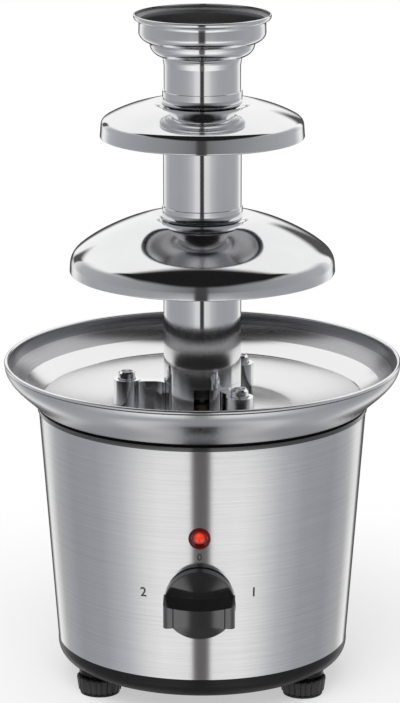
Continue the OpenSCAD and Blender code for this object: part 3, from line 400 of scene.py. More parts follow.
# One mesh of boxes (x, y, z, width, length, height) and rounds (x, y, z, radius, height), z at the bottom
def cuts(name, boxes, rounds):
    bm = bmesh.new()
    for x, y, z, width, length, height in boxes:
        middle = Matrix.Translation((x * mm, y * mm, (z + height / 2) * mm))
        size = Matrix.Diagonal((width * mm, length * mm, height * mm, 1))
        bmesh.ops.create_cube(bm, size=1, matrix=middle @ size)
    for x, y, z, radius, height in rounds:
        middle = Matrix.Translation((x * mm, y * mm, (z + height / 2) * mm))
        bmesh.ops.create_cone(bm, cap_ends=True, segments=cutSteps, radius1=radius * mm, radius2=radius * mm,
                              depth=height * mm, matrix=middle)
    return meshPiece(name, bm)


def worked(piece, *tools):  # the piece with its boolean tools applied and removed
    for kind, tool in tools:
        step = piece.modifiers.new(kind, "BOOLEAN")
        step.operation = kind
        step.object = tool
        step.solver = "EXACT"
    bpy.context.view_layer.update()
    done = bpy.data.meshes.new_from_object(piece.evaluated_get(bpy.context.evaluated_depsgraph_get()))
    piece.modifiers.clear()
    piece.data = done
    for _, tool in tools:
        bpy.data.objects.remove(tool)
    smooth(done)
    return piece


def dress(piece, finish, body, slot, *replaced):
    for each in finish if isinstance(finish, tuple) else (finish,):
        piece.data.materials.append(each)
    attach(piece, body)
    if replaced:
        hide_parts(*replaced)
    return piece


# Tower: sleeves, tiers and crown turned from sheet
towerSet = {"tubeR": 21.5, "tubeT": 1.2, "lowTubeT": 1.0, "ease": 0.2, "collarR": 22.2, "collarZ": 5.3,
            "collarH": 6.2, "seatR": 17.8, "boreR": 16.6, "spigotR": 19.9, "spigotH": 4.0, "ringH": 6.0,
            "crestR": 29.0, "sheet": 1.0, "baseTop": 172.6}
collarSet = {"start": (0.2, 1.0), "pull": (1.6, 2.6), "push": (-0.2, 3.2), "steps": 12, "edge": 0.1,
             "foot": 0.4, "brow": 0.12, "crease": 0.05}
taperRings = collarSet["steps"] + 2  # rings of a foot path that lie on its taper
tubeR = towerSet["tubeR"]


def footPath(z, neck, rim):  # seat, rounded taper and collar at the foot of a sleeve
    low = z + towerSet["collarZ"]
    high = low + towerSet["collarH"]
    edge = collarSet["edge"]
    crease = collarSet["crease"]
    handles = shifted(towerSet["seatR"], z, collarSet["start"], collarSet["pull"])
    handles += shifted(rim, z, collarSet["push"])
    return (points((towerSet["seatR"], z)) +
            bezier(*handles, (rim - edge, low), collarSet["steps"]) +
            points((rim, low + collarSet["foot"]), (rim, high - collarSet["brow"]), (rim - edge, high),
                   (neck + crease, high), (neck, high + crease)))


tierSet = {"seatGap": 0.4, "hubPull": 2.6, "hubRise": 0.6, "crestPush": 5.0, "domePull": 0.22,
           "domeFlat": 0.8, "domePush": 0.28, "lipLean": 0.12, "lipArc": (-20, -160), "chamfer": 0.4}
lowerTier = {"hubZ": 260.0, "hubDepth": 5.0, "rimR": 73.2, "height": 30.2, "edgeR": 11.0, "slope": 43.5,
             "skirtH": 3.7, "lean": 3.5}
upperTier = {"hubZ": 324.0, "hubDepth": 4.3, "rimR": 56.0, "height": 18.5, "edgeR": 4.6, "slope": 32.0,
             "skirtH": 6.4, "lean": 4.0}


def tierLoop(tier):  # outline of a tier, and how many of its points lie on the outside
    hub = tier["hubZ"]
    rim = tier["rimR"]
    crest = Vector((towerSet["crestR"], hub + tier["hubDepth"]))
    edgeZ = crest.y - tier["height"]
    lean = tier["skirtH"] * math.tan(math.radians(tier["lean"]))
    edgeC = Vector((rim - tier["edgeR"] - lean, edgeZ + tier["skirtH"]))
    slope = math.radians(tier["slope"])
    shoulder = edgeC + tier["edgeR"] * Vector((math.sin(slope), math.cos(slope)))
    reach = shoulder.x - crest.x
    seat = towerSet["seatR"] + tierSet["seatGap"]
    sheet = towerSet["sheet"]
    path = bezier((seat, hub), (seat + tierSet["hubPull"], hub + tier["hubDepth"] * tierSet["hubRise"]),
                  crest - Vector((tierSet["crestPush"], 0)), crest, 20)
    path += bezier(crest, crest + Vector((reach * tierSet["domePull"] + tierSet["domeFlat"], 0)),
                   shoulder + reach * tierSet["domePush"] * Vector((-math.cos(slope), math.sin(slope))),
                   shoulder, 44)[1:]
    path += arc(edgeC, tier["edgeR"], 90 - tier["slope"], tier["lean"], 22)[1:]
    path += points((rim - lean * tierSet["lipLean"], edgeZ + sheet), (rim, edgeZ + sheet / 2))
    under = [point for point in sideways(path, -sheet) if point.x > tubeR + towerSet["ease"]]
    lip = arc((rim - sheet / 2, edgeZ + sheet / 2), sheet / 2, *tierSet["lipArc"], 6)
    ring = hub - towerSet["ringH"]
    low = ring - towerSet["spigotH"]
    spigotR = towerSet["spigotR"]
    spigot = points((tubeR, under[0].y), (tubeR, ring + towerSet["ease"]), (tubeR - towerSet["ease"], ring),
                    (spigotR, ring), (spigotR, low + tierSet["chamfer"]), (spigotR - tierSet["chamfer"], low),
                    (towerSet["boreR"], low), (towerSet["boreR"], hub))
    return path + lip + list(reversed(under)) + spigot, len(path) + len(lip)


for tier, node in ((lowerTier, "lower_tier"), (upperTier, "upper_tier")):
    loop, outside = tierLoop(tier)
    # the underside takes the taper steel, whose darker colour is painted shade
    domeMesh = turnedMesh(loop, domeSteps, lining=lambda row: int(row > outside))
    dress(meshPiece(node + "_dome", domeMesh), (steelMirror, steelTaperShaded), node, "polished_steel", node)


def tubeEnd(tier):  # top end of the sleeve under a tier
    top = tier["hubZ"] - towerSet["ringH"]
    return points((tubeR, top - towerSet["ease"]), (tubeR - towerSet["ease"], top))


middlePath = footPath(lowerTier["hubZ"], tubeR, towerSet["collarR"]) + tubeEnd(upperTier)
# the taper takes the taper steel, whose darker colour is painted dark reflection
middleMesh = turnedMesh(sheetLoop(middlePath, towerSet["tubeT"]), lining=lambda row: int(row < taperRings))
middleSleeve = meshPiece("middle_sleeve_tube", middleMesh)
dress(middleSleeve, (steelMirror, steelTaperShaded), "middle_sleeve", "polished_steel", "middle_sleeve")
lowerPath = points((tubeR - towerSet["ease"], towerSet["baseTop"]),
                   (tubeR, towerSet["baseTop"] + towerSet["ease"]))
lowerMesh = turnedMesh(sheetLoop(lowerPath + tubeEnd(lowerTier), towerSet["lowTubeT"]))
dress(meshPiece("lower_sleeve_tube", lowerMesh), steelMirror, "tower", "polished_steel", "lower_sleeve")

# Crown: moves of its curves from the neck's, bowl's, cup's and lip's own radius and height
crownSet = {"neckR": 21.0, "neckH": 30.0, "bowlR": 28.7, "bowlH": 7.6, "cupR": 34.7, "cupH": 15.4,
            "lipR": 37.5, "collarOver": 0.9,
            "swell": ((0.0, -5.2), (0.05, -4.6), (0.4, -2.4), (0.6, -0.9)),
            "bowlStart": (0.4, 0.0), "bowlHandles": ((-3.0, 0.4), (-0.2, 3.42)), "bowlEnd": (0.0, -0.7),
            "cupStart": (-0.4, 0.0), "cupHandles": ((-3.4, 0.5), (-0.4, 2.4)),
            "cupWall": ((0.0, -10.0), (-0.01, -9.5), (-0.13, -5.0), (-0.14, -4.6)),
            "lipStart": (0.2, -3.6), "lipHandles": ((-1.0, -3.2), (0.0, -2.4), (0.0, -1.0)),
            "lipRoll": ((0.0, -0.7), (0.0, -0.2), (-0.3, 0.0), (-0.7, 0.0))}
neckR, bowlR, cupR, lipR = (crownSet[key] for key in ("neckR", "bowlR", "cupR", "lipR"))
neckZ = upperTier["hubZ"] + crownSet["neckH"]
bowlTop = neckZ + crownSet["bowlH"]
crownTop = bowlTop + crownSet["cupH"]
cupWall = shifted(cupR, crownTop, *crownSet["cupWall"])
crownPath = footPath(upperTier["hubZ"], neckR, neckR + crownSet["collarOver"])
crownPath += shifted(neckR, neckZ, *crownSet["swell"])
crownPath += bezier(*shifted(neckR, neckZ, crownSet["bowlStart"]),
                    *shifted(bowlR, neckZ, *crownSet["bowlHandles"]),
                    *shifted(bowlR, bowlTop, crownSet["bowlEnd"]), 16)
crownPath += bezier(*shifted(bowlR, bowlTop, crownSet["cupStart"]),
                    *shifted(cupR, bowlTop, *crownSet["cupHandles"]), cupWall[0], 18)
crownPath += cupWall[1:]
crownPath += bezier(*shifted(cupR, crownTop, crownSet["lipStart"]),
                    *shifted(lipR, crownTop, *crownSet["lipHandles"]), 12)
crownPath += bezier(*shifted(lipR, crownTop, *crownSet["lipRoll"]), 6)
crownLoop = sheetLoop(crownPath, towerSet["sheet"])


def crownPart(row):  # 0 outside, 1 lining of the bowl and cup, darker as painted shade, 2 taper, darker as painted dark reflection
    if row < taperRings:
        return 2
    return int(row > len(crownPath) and crownLoop[row].y > neckZ)


crownCup = meshPiece("crown_cup", turnedMesh(crownLoop, lining=crownPart))
dress(crownCup, (steelMirror, steelLiningShaded, steelTaperShaded), "crown", "polished_steel", "crown")
print("tower turned")

# Bowl: pan with a rolled bead, and the flared skirt round it
bowlSet = {"rimR": 110.0, "rimZ": 184.8, "panZ": 157.0, "holeR": 6.52, "levelR": 44.0, "flatR": 50.0,
           "creaseR": 88.0, "creaseZ": 164.2, "floorPull": (0.15, 0.3), "floorPush": (-0.5, -4.5),
           "crease": (0.3, 0.45), "wallPull": (0.40, 0.22), "wallPush": (0.08, 0.42), "wallLap": 0.05,
           "dullR": 98.5, "bandR": 104.9, "bead": 1.1, "beadArc": (175, -110), "beadGap": 0.12, "sheet": 1.0}
bead = bowlSet["bead"]
beadC = Vector((bowlSet["rimR"] - bead, bowlSet["rimZ"] - bead))
wallFoot = Vector((bowlSet["creaseR"] + bowlSet["crease"][0], bowlSet["creaseZ"] + bowlSet["crease"][1]))
wallTop = Vector((bowlSet["rimR"] - 2 * bead + bowlSet["wallLap"], bowlSet["rimZ"] - bead))
floorRun = bowlSet["creaseR"] - bowlSet["flatR"]
pullRun, pullRise = bowlSet["floorPull"]
pushRun, pushRise = bowlSet["floorPush"]
floorPull = (bowlSet["flatR"] + pullRun * floorRun, bowlSet["panZ"] + pullRise)
floorPush = (bowlSet["creaseR"] + pushRun * floorRun, bowlSet["creaseZ"] + pushRise)
panPath = points((bowlSet["holeR"], bowlSet["panZ"]), (bowlSet["levelR"], bowlSet["panZ"]))
panPath += bezier((bowlSet["flatR"], bowlSet["panZ"]), floorPull, floorPush,
                  (bowlSet["creaseR"], bowlSet["creaseZ"]), 28)
panPath += flare(wallFoot, wallTop, bowlSet["wallPull"], bowlSet["wallPush"], 36)
panBack = [point for point in sideways(panPath, -bowlSet["sheet"])
           if (point - beadC).length > bead + bowlSet["beadGap"]]
panLoop = panPath + arc(beadC, bead, *bowlSet["beadArc"], 24) + list(reversed(panBack))


def panPart(row):  # 0 floor, foot of the wall, bead and underside, 1 wall, 2 the band under the bead, darker still; 1 and 2 are darker as painted dark reflection
    if row >= len(panPath) - 1 or panLoop[row].x < bowlSet["dullR"]:
        return 0
    return 2 if panLoop[row].x > bowlSet["bandR"] else 1


pan = meshPiece("bowl_pan_dish", turnedMesh(panLoop, bowlSteps, lining=panPart))
dress(pan, (steelBowl, steelWall, steelBand), "drum", "polished_steel", "bowl_pan")

flareSet = {"flangeR": 85.25, "footR": 94.0, "footIn": 0.6, "lowZ": 161.3, "bend": 1.5, "bendArc": (-90, -40),
            "pull": (0.42, 0.36), "push": (0.04, 0.38), "topGap": 0.1}
bend = flareSet["bend"]
bendC = (flareSet["footR"] - bend - flareSet["footIn"], flareSet["lowZ"] + bend)
bendPath = arc(bendC, bend, *flareSet["bendArc"], 6)  # foot bent out of the flange
skirtTop = Vector((bowlSet["rimR"] - bead + bowlSet["sheet"],
                   bowlSet["rimZ"] - 2 * bead - flareSet["topGap"]))
skirtPath = points((flareSet["flangeR"], flareSet["lowZ"])) + bendPath
skirtPath += flare(bendPath[-1], skirtTop, flareSet["pull"], flareSet["push"], 32)[1:]
skirtMesh = turnedMesh(sheetLoop(skirtPath, bowlSet["sheet"]), bowlSteps)
dress(meshPiece("bowl_skirt_flare", skirtMesh), steelSkirt, "drum", "polished_steel", "bowl_skirt")

# Gasket: glossy band with a lip over the drum's edge, stepped back under the skirt
gasketSet = {"r": 91.8, "inR": 85.25, "low": 158.3, "h": 3.0, "edge": 0.22, "lipR": 91.3, "lip": 1.15,
             "stepR": 89.4, "stepH": 1.7}
gasketLow = gasketSet["low"]
gasketTop = gasketLow + gasketSet["h"]
stepZ = gasketTop - gasketSet["stepH"]
lipZ = gasketLow - gasketSet["lip"]
edge = gasketSet["edge"]
gasketLoop = points((gasketSet["inR"], gasketLow), (gasketSet["lipR"], gasketLow), (gasketSet["lipR"], lipZ))
gasketLoop += arc((gasketSet["r"] - edge, lipZ + edge), edge, -90, 0, 5)
gasketLoop += arc((gasketSet["r"] - edge, stepZ - edge), edge, 0, 90, 5)
stepRow = len(gasketLoop) - 1  # the satin step starts here
gasketLoop += points((gasketSet["stepR"], stepZ), (gasketSet["stepR"], gasketTop),
                     (gasketSet["inR"], gasketTop))
gasketMesh = turnedMesh(gasketLoop, domeSteps, lining=lambda row: int(row >= stepRow))
gasket = meshPiece("bowl_gasket_ring", gasketMesh)
dress(gasket, (glossRubber, blackSatin), "drum", "black_rubber", "bowl_gasket")
print("bowl turned")

# Drum: tapered wall, black tray under it
drumSet = {"lowR": 81.55, "topR": 91.25, "lowZ": 25.0, "h": 133.3, "sheet": 0.8, "lip": 6.0, "fold": 0.35}
drumLow = drumSet["lowZ"]
drumH = drumSet["h"]
taper = math.atan((drumSet["topR"] - drumSet["lowR"]) / drumH)


def wallR(height):
    return drumSet["lowR"] + (drumSet["topR"] - drumSet["lowR"]) * height / drumH


def onWall(height):  # frame on the front of the wall: +Z out of it, +Y up
    return (Matrix.Translation((0, -wallR(height) * mm, (drumLow + height) * mm)) @
            Matrix.Rotation(math.pi / 2 + taper, 4, "X"))


fold = drumSet["fold"]
foldC = (wallR(drumH - fold) - fold * math.cos(taper), drumLow + drumH - fold)
wallPath = points((drumSet["lowR"], drumLow), (wallR(drumH / 2), drumLow + drumH / 2))
wallPath += arc(foldC, fold, -math.degrees(taper), 90, 10)
wallPath += points((drumSet["topR"] - drumSet["lip"], drumLow + drumH))
wallMesh = turnedMesh(sheetLoop(wallPath, drumSet["sheet"]), bowlSteps)
dress(meshPiece("drum_wall", wallMesh), steelDrum, "drum", "brushed_steel", "housing")

traySet = {"low": 13.2, "edge": 9.0, "chamfer": 0.25, "floor": 3.0, "fillet": 2.0, "wall": 2.5, "ringH": 8.0,
           "ringR": 80.35, "rodAt": 48.0, "rodHole": 4.1, "rodCut": (-1.0, 8.0), "footAt": 65.5,
           "bossR": 11.5, "bossDrop": 1.2, "insertR": 5.02, "insertH": 8.0, "insertCut": (-3.0, 14.0),
           "ventX": 12.0, "ventPitch": 8.0, "ventRows": (-2, -1, 0, 1, 2), "ventW": 18.0, "ventL": 4.0,
           "ventCut": (-1.0, 5.0)}
trayLow = traySet["low"]
trayFloor = trayLow + traySet["floor"]
ringR = traySet["ringR"]
ringTop = drumLow + traySet["ringH"]
inner = ringR - traySet["wall"]
chamfer = traySet["chamfer"]
fillet = traySet["fillet"]
trayLoop = points((0, trayLow))
trayLoop += arc((drumSet["lowR"] - traySet["edge"], trayLow + traySet["edge"]), traySet["edge"], -90, 0, 24)
trayLoop += points((drumSet["lowR"], drumLow - chamfer), (drumSet["lowR"] - chamfer, drumLow),
                   (ringR, drumLow), (ringR, ringTop), (inner, ringTop), (inner, trayFloor + fillet),
                   (inner - fillet, trayFloor), (0, trayFloor))


def ringAt(radius, degrees):
    angles = [math.radians(turn) for turn in degrees]
    return [(radius * math.cos(angle), radius * math.sin(angle)) for angle in angles]


def trayCuts(places, radius, cut):  # rounds at these places; cut is their start from the tray and height
    start, height = cut
    return [(x, y, trayLow + start, radius, height) for x, y in places]


footPlaces = ringAt(traySet["footAt"], (90, 210, 330))
rodPlaces = ringAt(traySet["rodAt"], (60, 180, 300))
bossCut = (-traySet["bossDrop"], traySet["bossDrop"] + traySet["insertH"])
ventLow, ventH = traySet["ventCut"]
vents = []
for side in (-1, 1):
    for row in traySet["ventRows"]:
        vents.append((side * traySet["ventX"], row * traySet["ventPitch"], trayLow + ventLow,
                      traySet["ventW"], traySet["ventL"], ventH))
tray = meshPiece("tray_shell", turnedMesh(trayLoop, domeSteps))
bosses = cuts("boss", [], trayCuts(footPlaces, traySet["bossR"], bossCut))
holes = cuts("holes", vents, trayCuts(footPlaces, traySet["insertR"], traySet["insertCut"]) +
             trayCuts(rodPlaces, traySet["rodHole"], traySet["rodCut"]))
worked(tray, ("UNION", bosses), ("DIFFERENCE", holes))
dress(tray, blackSatin, "drum", "black_matte", "base_tray")
print("drum turned")

# Pilot lamp on the wall
lampSet = {"z": 83.0, "steps": 72, "bezelR": 6.0, "bezelH": 2.2, "round": 1.1, "proud": 0.1, "chamfer": 0.2,
           "neckR": 4.6, "neckL": 6.0, "lensR": 4.4, "play": 0.02, "lip": 0.25, "seat": 0.8, "ledge": 1.0,
           "stem": 1.6, "dome": 1.6}
lensSet = {"rim": (0.07, 0.002, 0.001, 1), "middle": (0.28, 0.010, 0.004, 1), "rough": 0.10, "ripple": 900,
           "rippleRough": 0.05, "coat": 0.6, "coatRough": 0.04, "dim": (0.020, 0.0004, 0.0002, 1),
           "lit": (0.62, 0.020, 0.004, 1), "hot": (0.85, 0.10, 0.035, 1), "strength": 0.72, "glowR": 3.7,
           "glowCore": 0.55, "glintReach": 0.7, "glowAt": (0.0, 1.3, 3.4), "glintAt": (-0.4, 2.7, 3.2)}
lampPlace = onWall(lampSet["z"])
lensR = lampSet["lensR"]
lensSeat = lampSet["seat"]


def litLens():  # bright in the middle, deep red at its rim; the glow is the lamp's own, the brighter spot up and to the left is a painted highlight
    f = Finish("lit_lens")
    pos = f.add("TexCoord", give="Object")
    away = []
    for spot in (lensSet["glowAt"], lensSet["glintAt"]):
        centre = tuple(lampPlace @ (Vector(spot) * mm))
        away.append(f.add("VectorMath", {"operation": "DISTANCE"}, {0: pos, 1: centre}, give="Value"))
    glowR = lensSet["glowR"] * mm
    glow = f.span(away[0], glowR, glowR * lensSet["glowCore"])
    # painted highlight: the emission is brighter in a spot up and to the left of the middle
    hot = f.tint(f.span(away[1], glowR * lensSet["glintReach"], 0.0), lensSet["lit"], lensSet["hot"])
    ripple = f.noise(pos, lensSet["ripple"], 2.0)
    return f.surface(Base_Color=f.tint(glow, lensSet["rim"], lensSet["middle"]),
                     Roughness=lensSet["rough"] + lensSet["rippleRough"] * ripple,
                     Coat_Weight=lensSet["coat"], Coat_Roughness=lensSet["coatRough"],
                     Emission_Color=f.tint(glow, lensSet["dim"], hot), Emission_Strength=lensSet["strength"])


bezelR = lampSet["bezelR"]
bezelH = lampSet["bezelH"]
neckBack = -lampSet["neckL"]
proud = lampSet["proud"]
bezelLoop = points((lampSet["neckR"], neckBack), (lampSet["neckR"], proud),
                   (bezelR - lampSet["chamfer"], proud), (bezelR, proud + lampSet["chamfer"]))
bezelLoop += arc((bezelR - lampSet["round"], bezelH - lampSet["round"]), lampSet["round"], 0, 90, 8)
bezelLoop += points((lensR + lampSet["lip"], bezelH), (lensR + lampSet["play"], bezelH - lampSet["lip"]),
                    (lensR + lampSet["play"], lensSeat), (lensR - lampSet["ledge"], lensSeat),
                    (lensR - lampSet["ledge"], neckBack))
redBezel = moulded("red_bezel", (0.10, 0.004, 0.004, 1), (0.07, 0.003, 0.003, 1), 0.16, 900, 0.01, shine=0.3)
bezel = meshPiece("lamp_bezel_ring", turnedMesh(bezelLoop, lampSet["steps"], lampPlace))
dress(bezel, redBezel, "drum", "red_bezel", "lamp_bezel")
domeR = (lensR ** 2 + lampSet["dome"] ** 2) / (2 * lampSet["dome"])
domeTop = lensSeat + lampSet["stem"] + lampSet["dome"]
domeReach = math.degrees(math.asin(lensR / domeR))
lensLoop = points((0, lensSeat), (lensR, lensSeat)) + arc((0, domeTop - domeR), domeR, 90 - domeReach, 90, 14)
lens = meshPiece("lamp_lens_dome", turnedMesh(lensLoop, lampSet["steps"], lampPlace))
dress(lens, litLens(), "drum", "red_lens", "lamp_lens")
for part in (bezel, lens):
    part.visible_glossy = False  # too weak to show in the skirt above it

# Knob: disc and waisted grip in one moulding
knobSet = {"z": 46.5, "steps": 128, "r": 19.5, "back": 0.8, "disc": 6.2, "edge": 0.5, "edgeArc": (0, 80),
           "chamfer": 0.3, "crown": 1.45, "coneSteps": 9, "tip": 0.2, "tipPull": (0.6, 1.1),
           "tipPush": (0.3, 1.12), "cavityR": 15.0, "cavityH": 3.6, "spindleR": 3.02, "boreL": 9.4,
           "boreLap": 1.0, "round": 0.9, "roundFrom": 40}
gripSet = {"length": 23.8, "endT": 13.2, "waistT": 9.2, "frontL": 38.4, "corner": 4.0, "cornerDrop": 1.0,
           "cornerSteps": 8, "cornerStep": 10, "rows": 6, "columns": 28, "thin": 0.02, "grooveX": 13.8,
           "grooveW": 0.6, "grooveD": 0.45, "grooveH": 3.0}
knobR = knobSet["r"]
knobBack = knobSet["back"]
knobEdge = knobSet["edge"]
crown = knobSet["crown"]
discFace = knobBack + knobSet["disc"]
cavityTop = knobBack + knobSet["cavityH"]
tip = knobR * knobSet["tip"]
tipPull, tipPush = knobSet["tipPull"], knobSet["tipPush"]
discLoop = points((0, cavityTop), (knobSet["cavityR"], cavityTop), (knobSet["cavityR"], knobBack),
                  (knobR - knobSet["chamfer"], knobBack), (knobR, knobBack + knobSet["chamfer"]))
discLoop += arc((knobR - knobEdge, discFace - knobEdge), knobEdge, *knobSet["edgeArc"], 6)
for i in range(knobSet["coneSteps"]):
    share = i / knobSet["coneSteps"]
    discLoop.append(Vector((knobR - knobEdge + (tip - knobR + knobEdge) * share, discFace + crown * share)))
discLoop += bezier((tip, discFace + crown), (tip * tipPull[0], discFace + crown * tipPull[1]),
                   (tip * tipPush[0], discFace + crown * tipPush[1]), (0, discFace + crown * tipPush[1]), 6)

gripFront = knobBack + gripSet["length"]
gripHalf = gripSet["frontL"] / 2
corner = gripSet["corner"]
cornerX = gripHalf - corner
cornerZ = gripFront - corner - gripSet["cornerDrop"]
cornerEnd = math.radians(gripSet["cornerSteps"] * gripSet["cornerStep"])


def frontAt(x):  # height of the crowned front
    fall = gripFront - (cornerZ + corner * math.sin(cornerEnd))
    return gripFront - fall * (x / (cornerX + corner * math.cos(cornerEnd))) ** 2


def gripRows():  # half length and height of each row from the disc out to the crowned front
    footX = knobR - knobSet["chamfer"]
    footZ = discFace - knobEdge
    rows = []
    for i in range(gripSet["rows"] + 1):
        share = i / gripSet["rows"]
        rows.append((footX + (gripHalf - footX) * share, footZ + (cornerZ - footZ) * share))
    for i in range(1, gripSet["cornerSteps"] + 1):
        angle = math.radians(gripSet["cornerStep"] * i)
        rows.append((cornerX + corner * math.cos(angle), cornerZ + corner * math.sin(angle)))
    last = rows[-1][0]
    for i in range(1, gripSet["rows"] + 1):
        x = last * (1 - i / gripSet["rows"])
        rows.append((max(x, gripSet["thin"]), frontAt(x)))
    return rows


def gripMesh():
    bm = bmesh.new()
    columns = gripSet["columns"]
    sheets = []
    for side in (1, -1):
        grid = []
        for half, z in gripRows():
            row = []
            for i in range(columns + 1):
                x = half * (2 * i / columns - 1)
                y = side * (gripSet["waistT"] + (gripSet["endT"] - gripSet["waistT"]) * (x / knobR) ** 2) / 2
                row.append(bm.verts.new((x * mm, y * mm, z * mm)))
            grid.append(row)
        sheets.append(grid)
        for row, after in zip(grid, grid[1:]):
            for i in range(columns):
                bm.faces.new((row[i], row[i + 1], after[i + 1], after[i]))
    up, down = sheets
    for end in (0, columns):
        for i in range(len(up) - 1):
            bm.faces.new((up[i][end], up[i + 1][end], down[i + 1][end], down[i][end]))
    for row in (0, len(up) - 1):
        for i in range(columns):
            bm.faces.new((up[row][i], up[row][i + 1], down[row][i + 1], down[row][i]))
    return bm


grip = meshPiece("grip", gripMesh())
knob = meshPiece("knob_moulding", turnedMesh(discLoop, knobSet["steps"]))
bore = cuts("bore", [], [(0, 0, cavityTop - knobSet["boreLap"], knobSet["spindleR"], knobSet["boreL"])])
worked(knob, ("UNION", grip), ("DIFFERENCE", bore))
soften = knob.modifiers.new("soften", "BEVEL")
soften.width = knobSet["round"] * mm
soften.segments = 3
soften.limit_method = "ANGLE"
soften.angle_limit = math.radians(knobSet["roundFrom"])
grooveZ = frontAt(gripSet["grooveX"]) - gripSet["grooveD"]
grooveSize = (gripSet["grooveW"], 2 * gripSet["endT"], gripSet["grooveH"])
grooves = [(side * gripSet["grooveX"], 0, grooveZ, *grooveSize) for side in (-1, 1)]
worked(knob, ("DIFFERENCE", cuts("grooves", grooves, [])))
knob.data.transform(onWall(knobSet["z"]))
even = knob.modifiers.new("even", "WEIGHTED_NORMAL")
even.keep_sharp = True
dress(knob, blackGloss, "knob", "black_gloss", "knob")
print("controls made")

# Plain numbers round the knob: text, degrees round the drum, height up the wall and size
numberSet = {"marks": (("0", 0.0, 71.8, 3.8), ("1", 20.0, 50.0, 5.2), ("2", -21.0, 49.5, 5.2)), "proud": 0.08,
             "sunk": 0.12, "bold": 0.12, "thick": 0.2, "figureShare": 0.7, "curveSteps": 6}
ink = moulded("number_ink", grey(0.03), grey(0.05), 0.5, 900, 0.02)


def wallNumber(text, turn, height, size):
    curve = bpy.data.curves.new("number_" + text, "FONT")
    curve.body = text
    curve.align_x = "CENTER"
    curve.align_y = "CENTER"
    curve.size = size / numberSet["figureShare"]
    curve.offset = numberSet["bold"]
    curve.extrude = numberSet["thick"]
    curve.resolution_u = numberSet["curveSteps"]
    flat = bpy.data.objects.new("number_" + text, curve)
    scene.collection.objects.link(flat)
    bpy.context.view_layer.update()
    bm = bmesh.new()
    bm.from_mesh(flat.evaluated_get(bpy.context.evaluated_depsgraph_get()).to_mesh())
    bpy.data.objects.remove(flat)
    for vert in bm.verts:  # laid round the wall
        up = height + vert.co.y * math.cos(taper)
        out = numberSet["proud"] if vert.co.z > 0 else -numberSet["sunk"]
        radius = wallR(up) + out
        angle = math.radians(turn) + vert.co.x / wallR(height)
        vert.co = (radius * math.sin(angle) * mm, -radius * math.cos(angle) * mm, (drumLow + up) * mm)
    dress(meshPiece("number_" + text, bm), ink, "drum", "black_matte")


for text, turn, height, size in numberSet["marks"]:
    wallNumber(text, turn, height, size)
print("numbers laid")

# Feet: grooved levelling wheels on their studs
wheelSet = {"pad": 1.2, "h": 8.7, "lowR": 12.0, "topR": 13.0, "round": 0.8, "chamfer": 0.3, "socketR": 4.4,
            "socketH": 2.9, "treadR": 10.0, "waist": (0.4, 4.0), "brow": (-0.12, -1.0), "rimW": 2.5,
            "recess": 2.5, "hubW": 3.0, "hubDrop": 0.5, "studR": 3.0, "studTop": 27.2, "studEnd": 0.8,
            "grooves": 22, "grooveSteps": 12, "depth": 0.85, "width": 0.75, "plainEdge": 0.75}
lowR, topR, studR = (wheelSet[key] for key in ("lowR", "topR", "studR"))
wheelLow = wheelSet["pad"]
wheelTop = wheelSet["pad"] + wheelSet["h"]
wheelRound = wheelSet["round"]
wheelChamfer = wheelSet["chamfer"]
socketZ = wheelLow + wheelSet["socketH"]
rimR = topR - wheelSet["rimW"]
recessZ = wheelTop - wheelSet["recess"]
hubR = studR + wheelSet["hubW"]
hubTop = wheelTop - wheelSet["hubDrop"]
studTop = wheelSet["studTop"]
wheelLoop = points((0, socketZ), (wheelSet["socketR"], socketZ), (wheelSet["socketR"], wheelLow),
                   (wheelSet["treadR"], wheelLow), (wheelSet["treadR"], wheelLow + wheelChamfer))
wheelLoop += arc((lowR - wheelRound, wheelLow + wheelChamfer + wheelRound), wheelRound, -90, 0, 5)
wheelLoop += shifted(lowR, wheelLow, wheelSet["waist"]) + shifted(topR, wheelTop, wheelSet["brow"])
wheelLoop += arc((topR - wheelRound, wheelTop - wheelRound), wheelRound, 0, 90, 5)
wheelLoop += points((rimR + wheelChamfer, wheelTop), (rimR, wheelTop - wheelChamfer), (rimR, recessZ),
                    (hubR, recessZ), (hubR, hubTop - wheelChamfer), (hubR - wheelChamfer, hubTop),
                    (studR, hubTop), (studR, studTop - wheelSet["studEnd"]),
                    (studR - wheelSet["studEnd"], studTop), (0, studTop))


def grooved(radius, angle):  # shallow grooves cut down the wheel's side
    if radius < lowR - wheelSet["plainEdge"]:
        return radius
    pitch = 2 * math.pi / wheelSet["grooves"]
    off = (angle / pitch + 0.5) % 1 - 0.5
    return radius - wheelSet["depth"] * math.exp(-(off * pitch * radius / wheelSet["width"]) ** 2)


wheelSteps = wheelSet["grooves"] * wheelSet["grooveSteps"]
for i, (x, y) in enumerate(footPlaces, 1):
    place = Matrix.Translation((x * mm, y * mm, 0))
    wheel = meshPiece(f"foot_wheel_{i}_grooved", turnedMesh(wheelLoop, wheelSteps, place, grooved))
    dress(wheel, blackFoot, f"wheel_{i}", "black_matte", f"foot_wheel_{i}")
print("feet made")

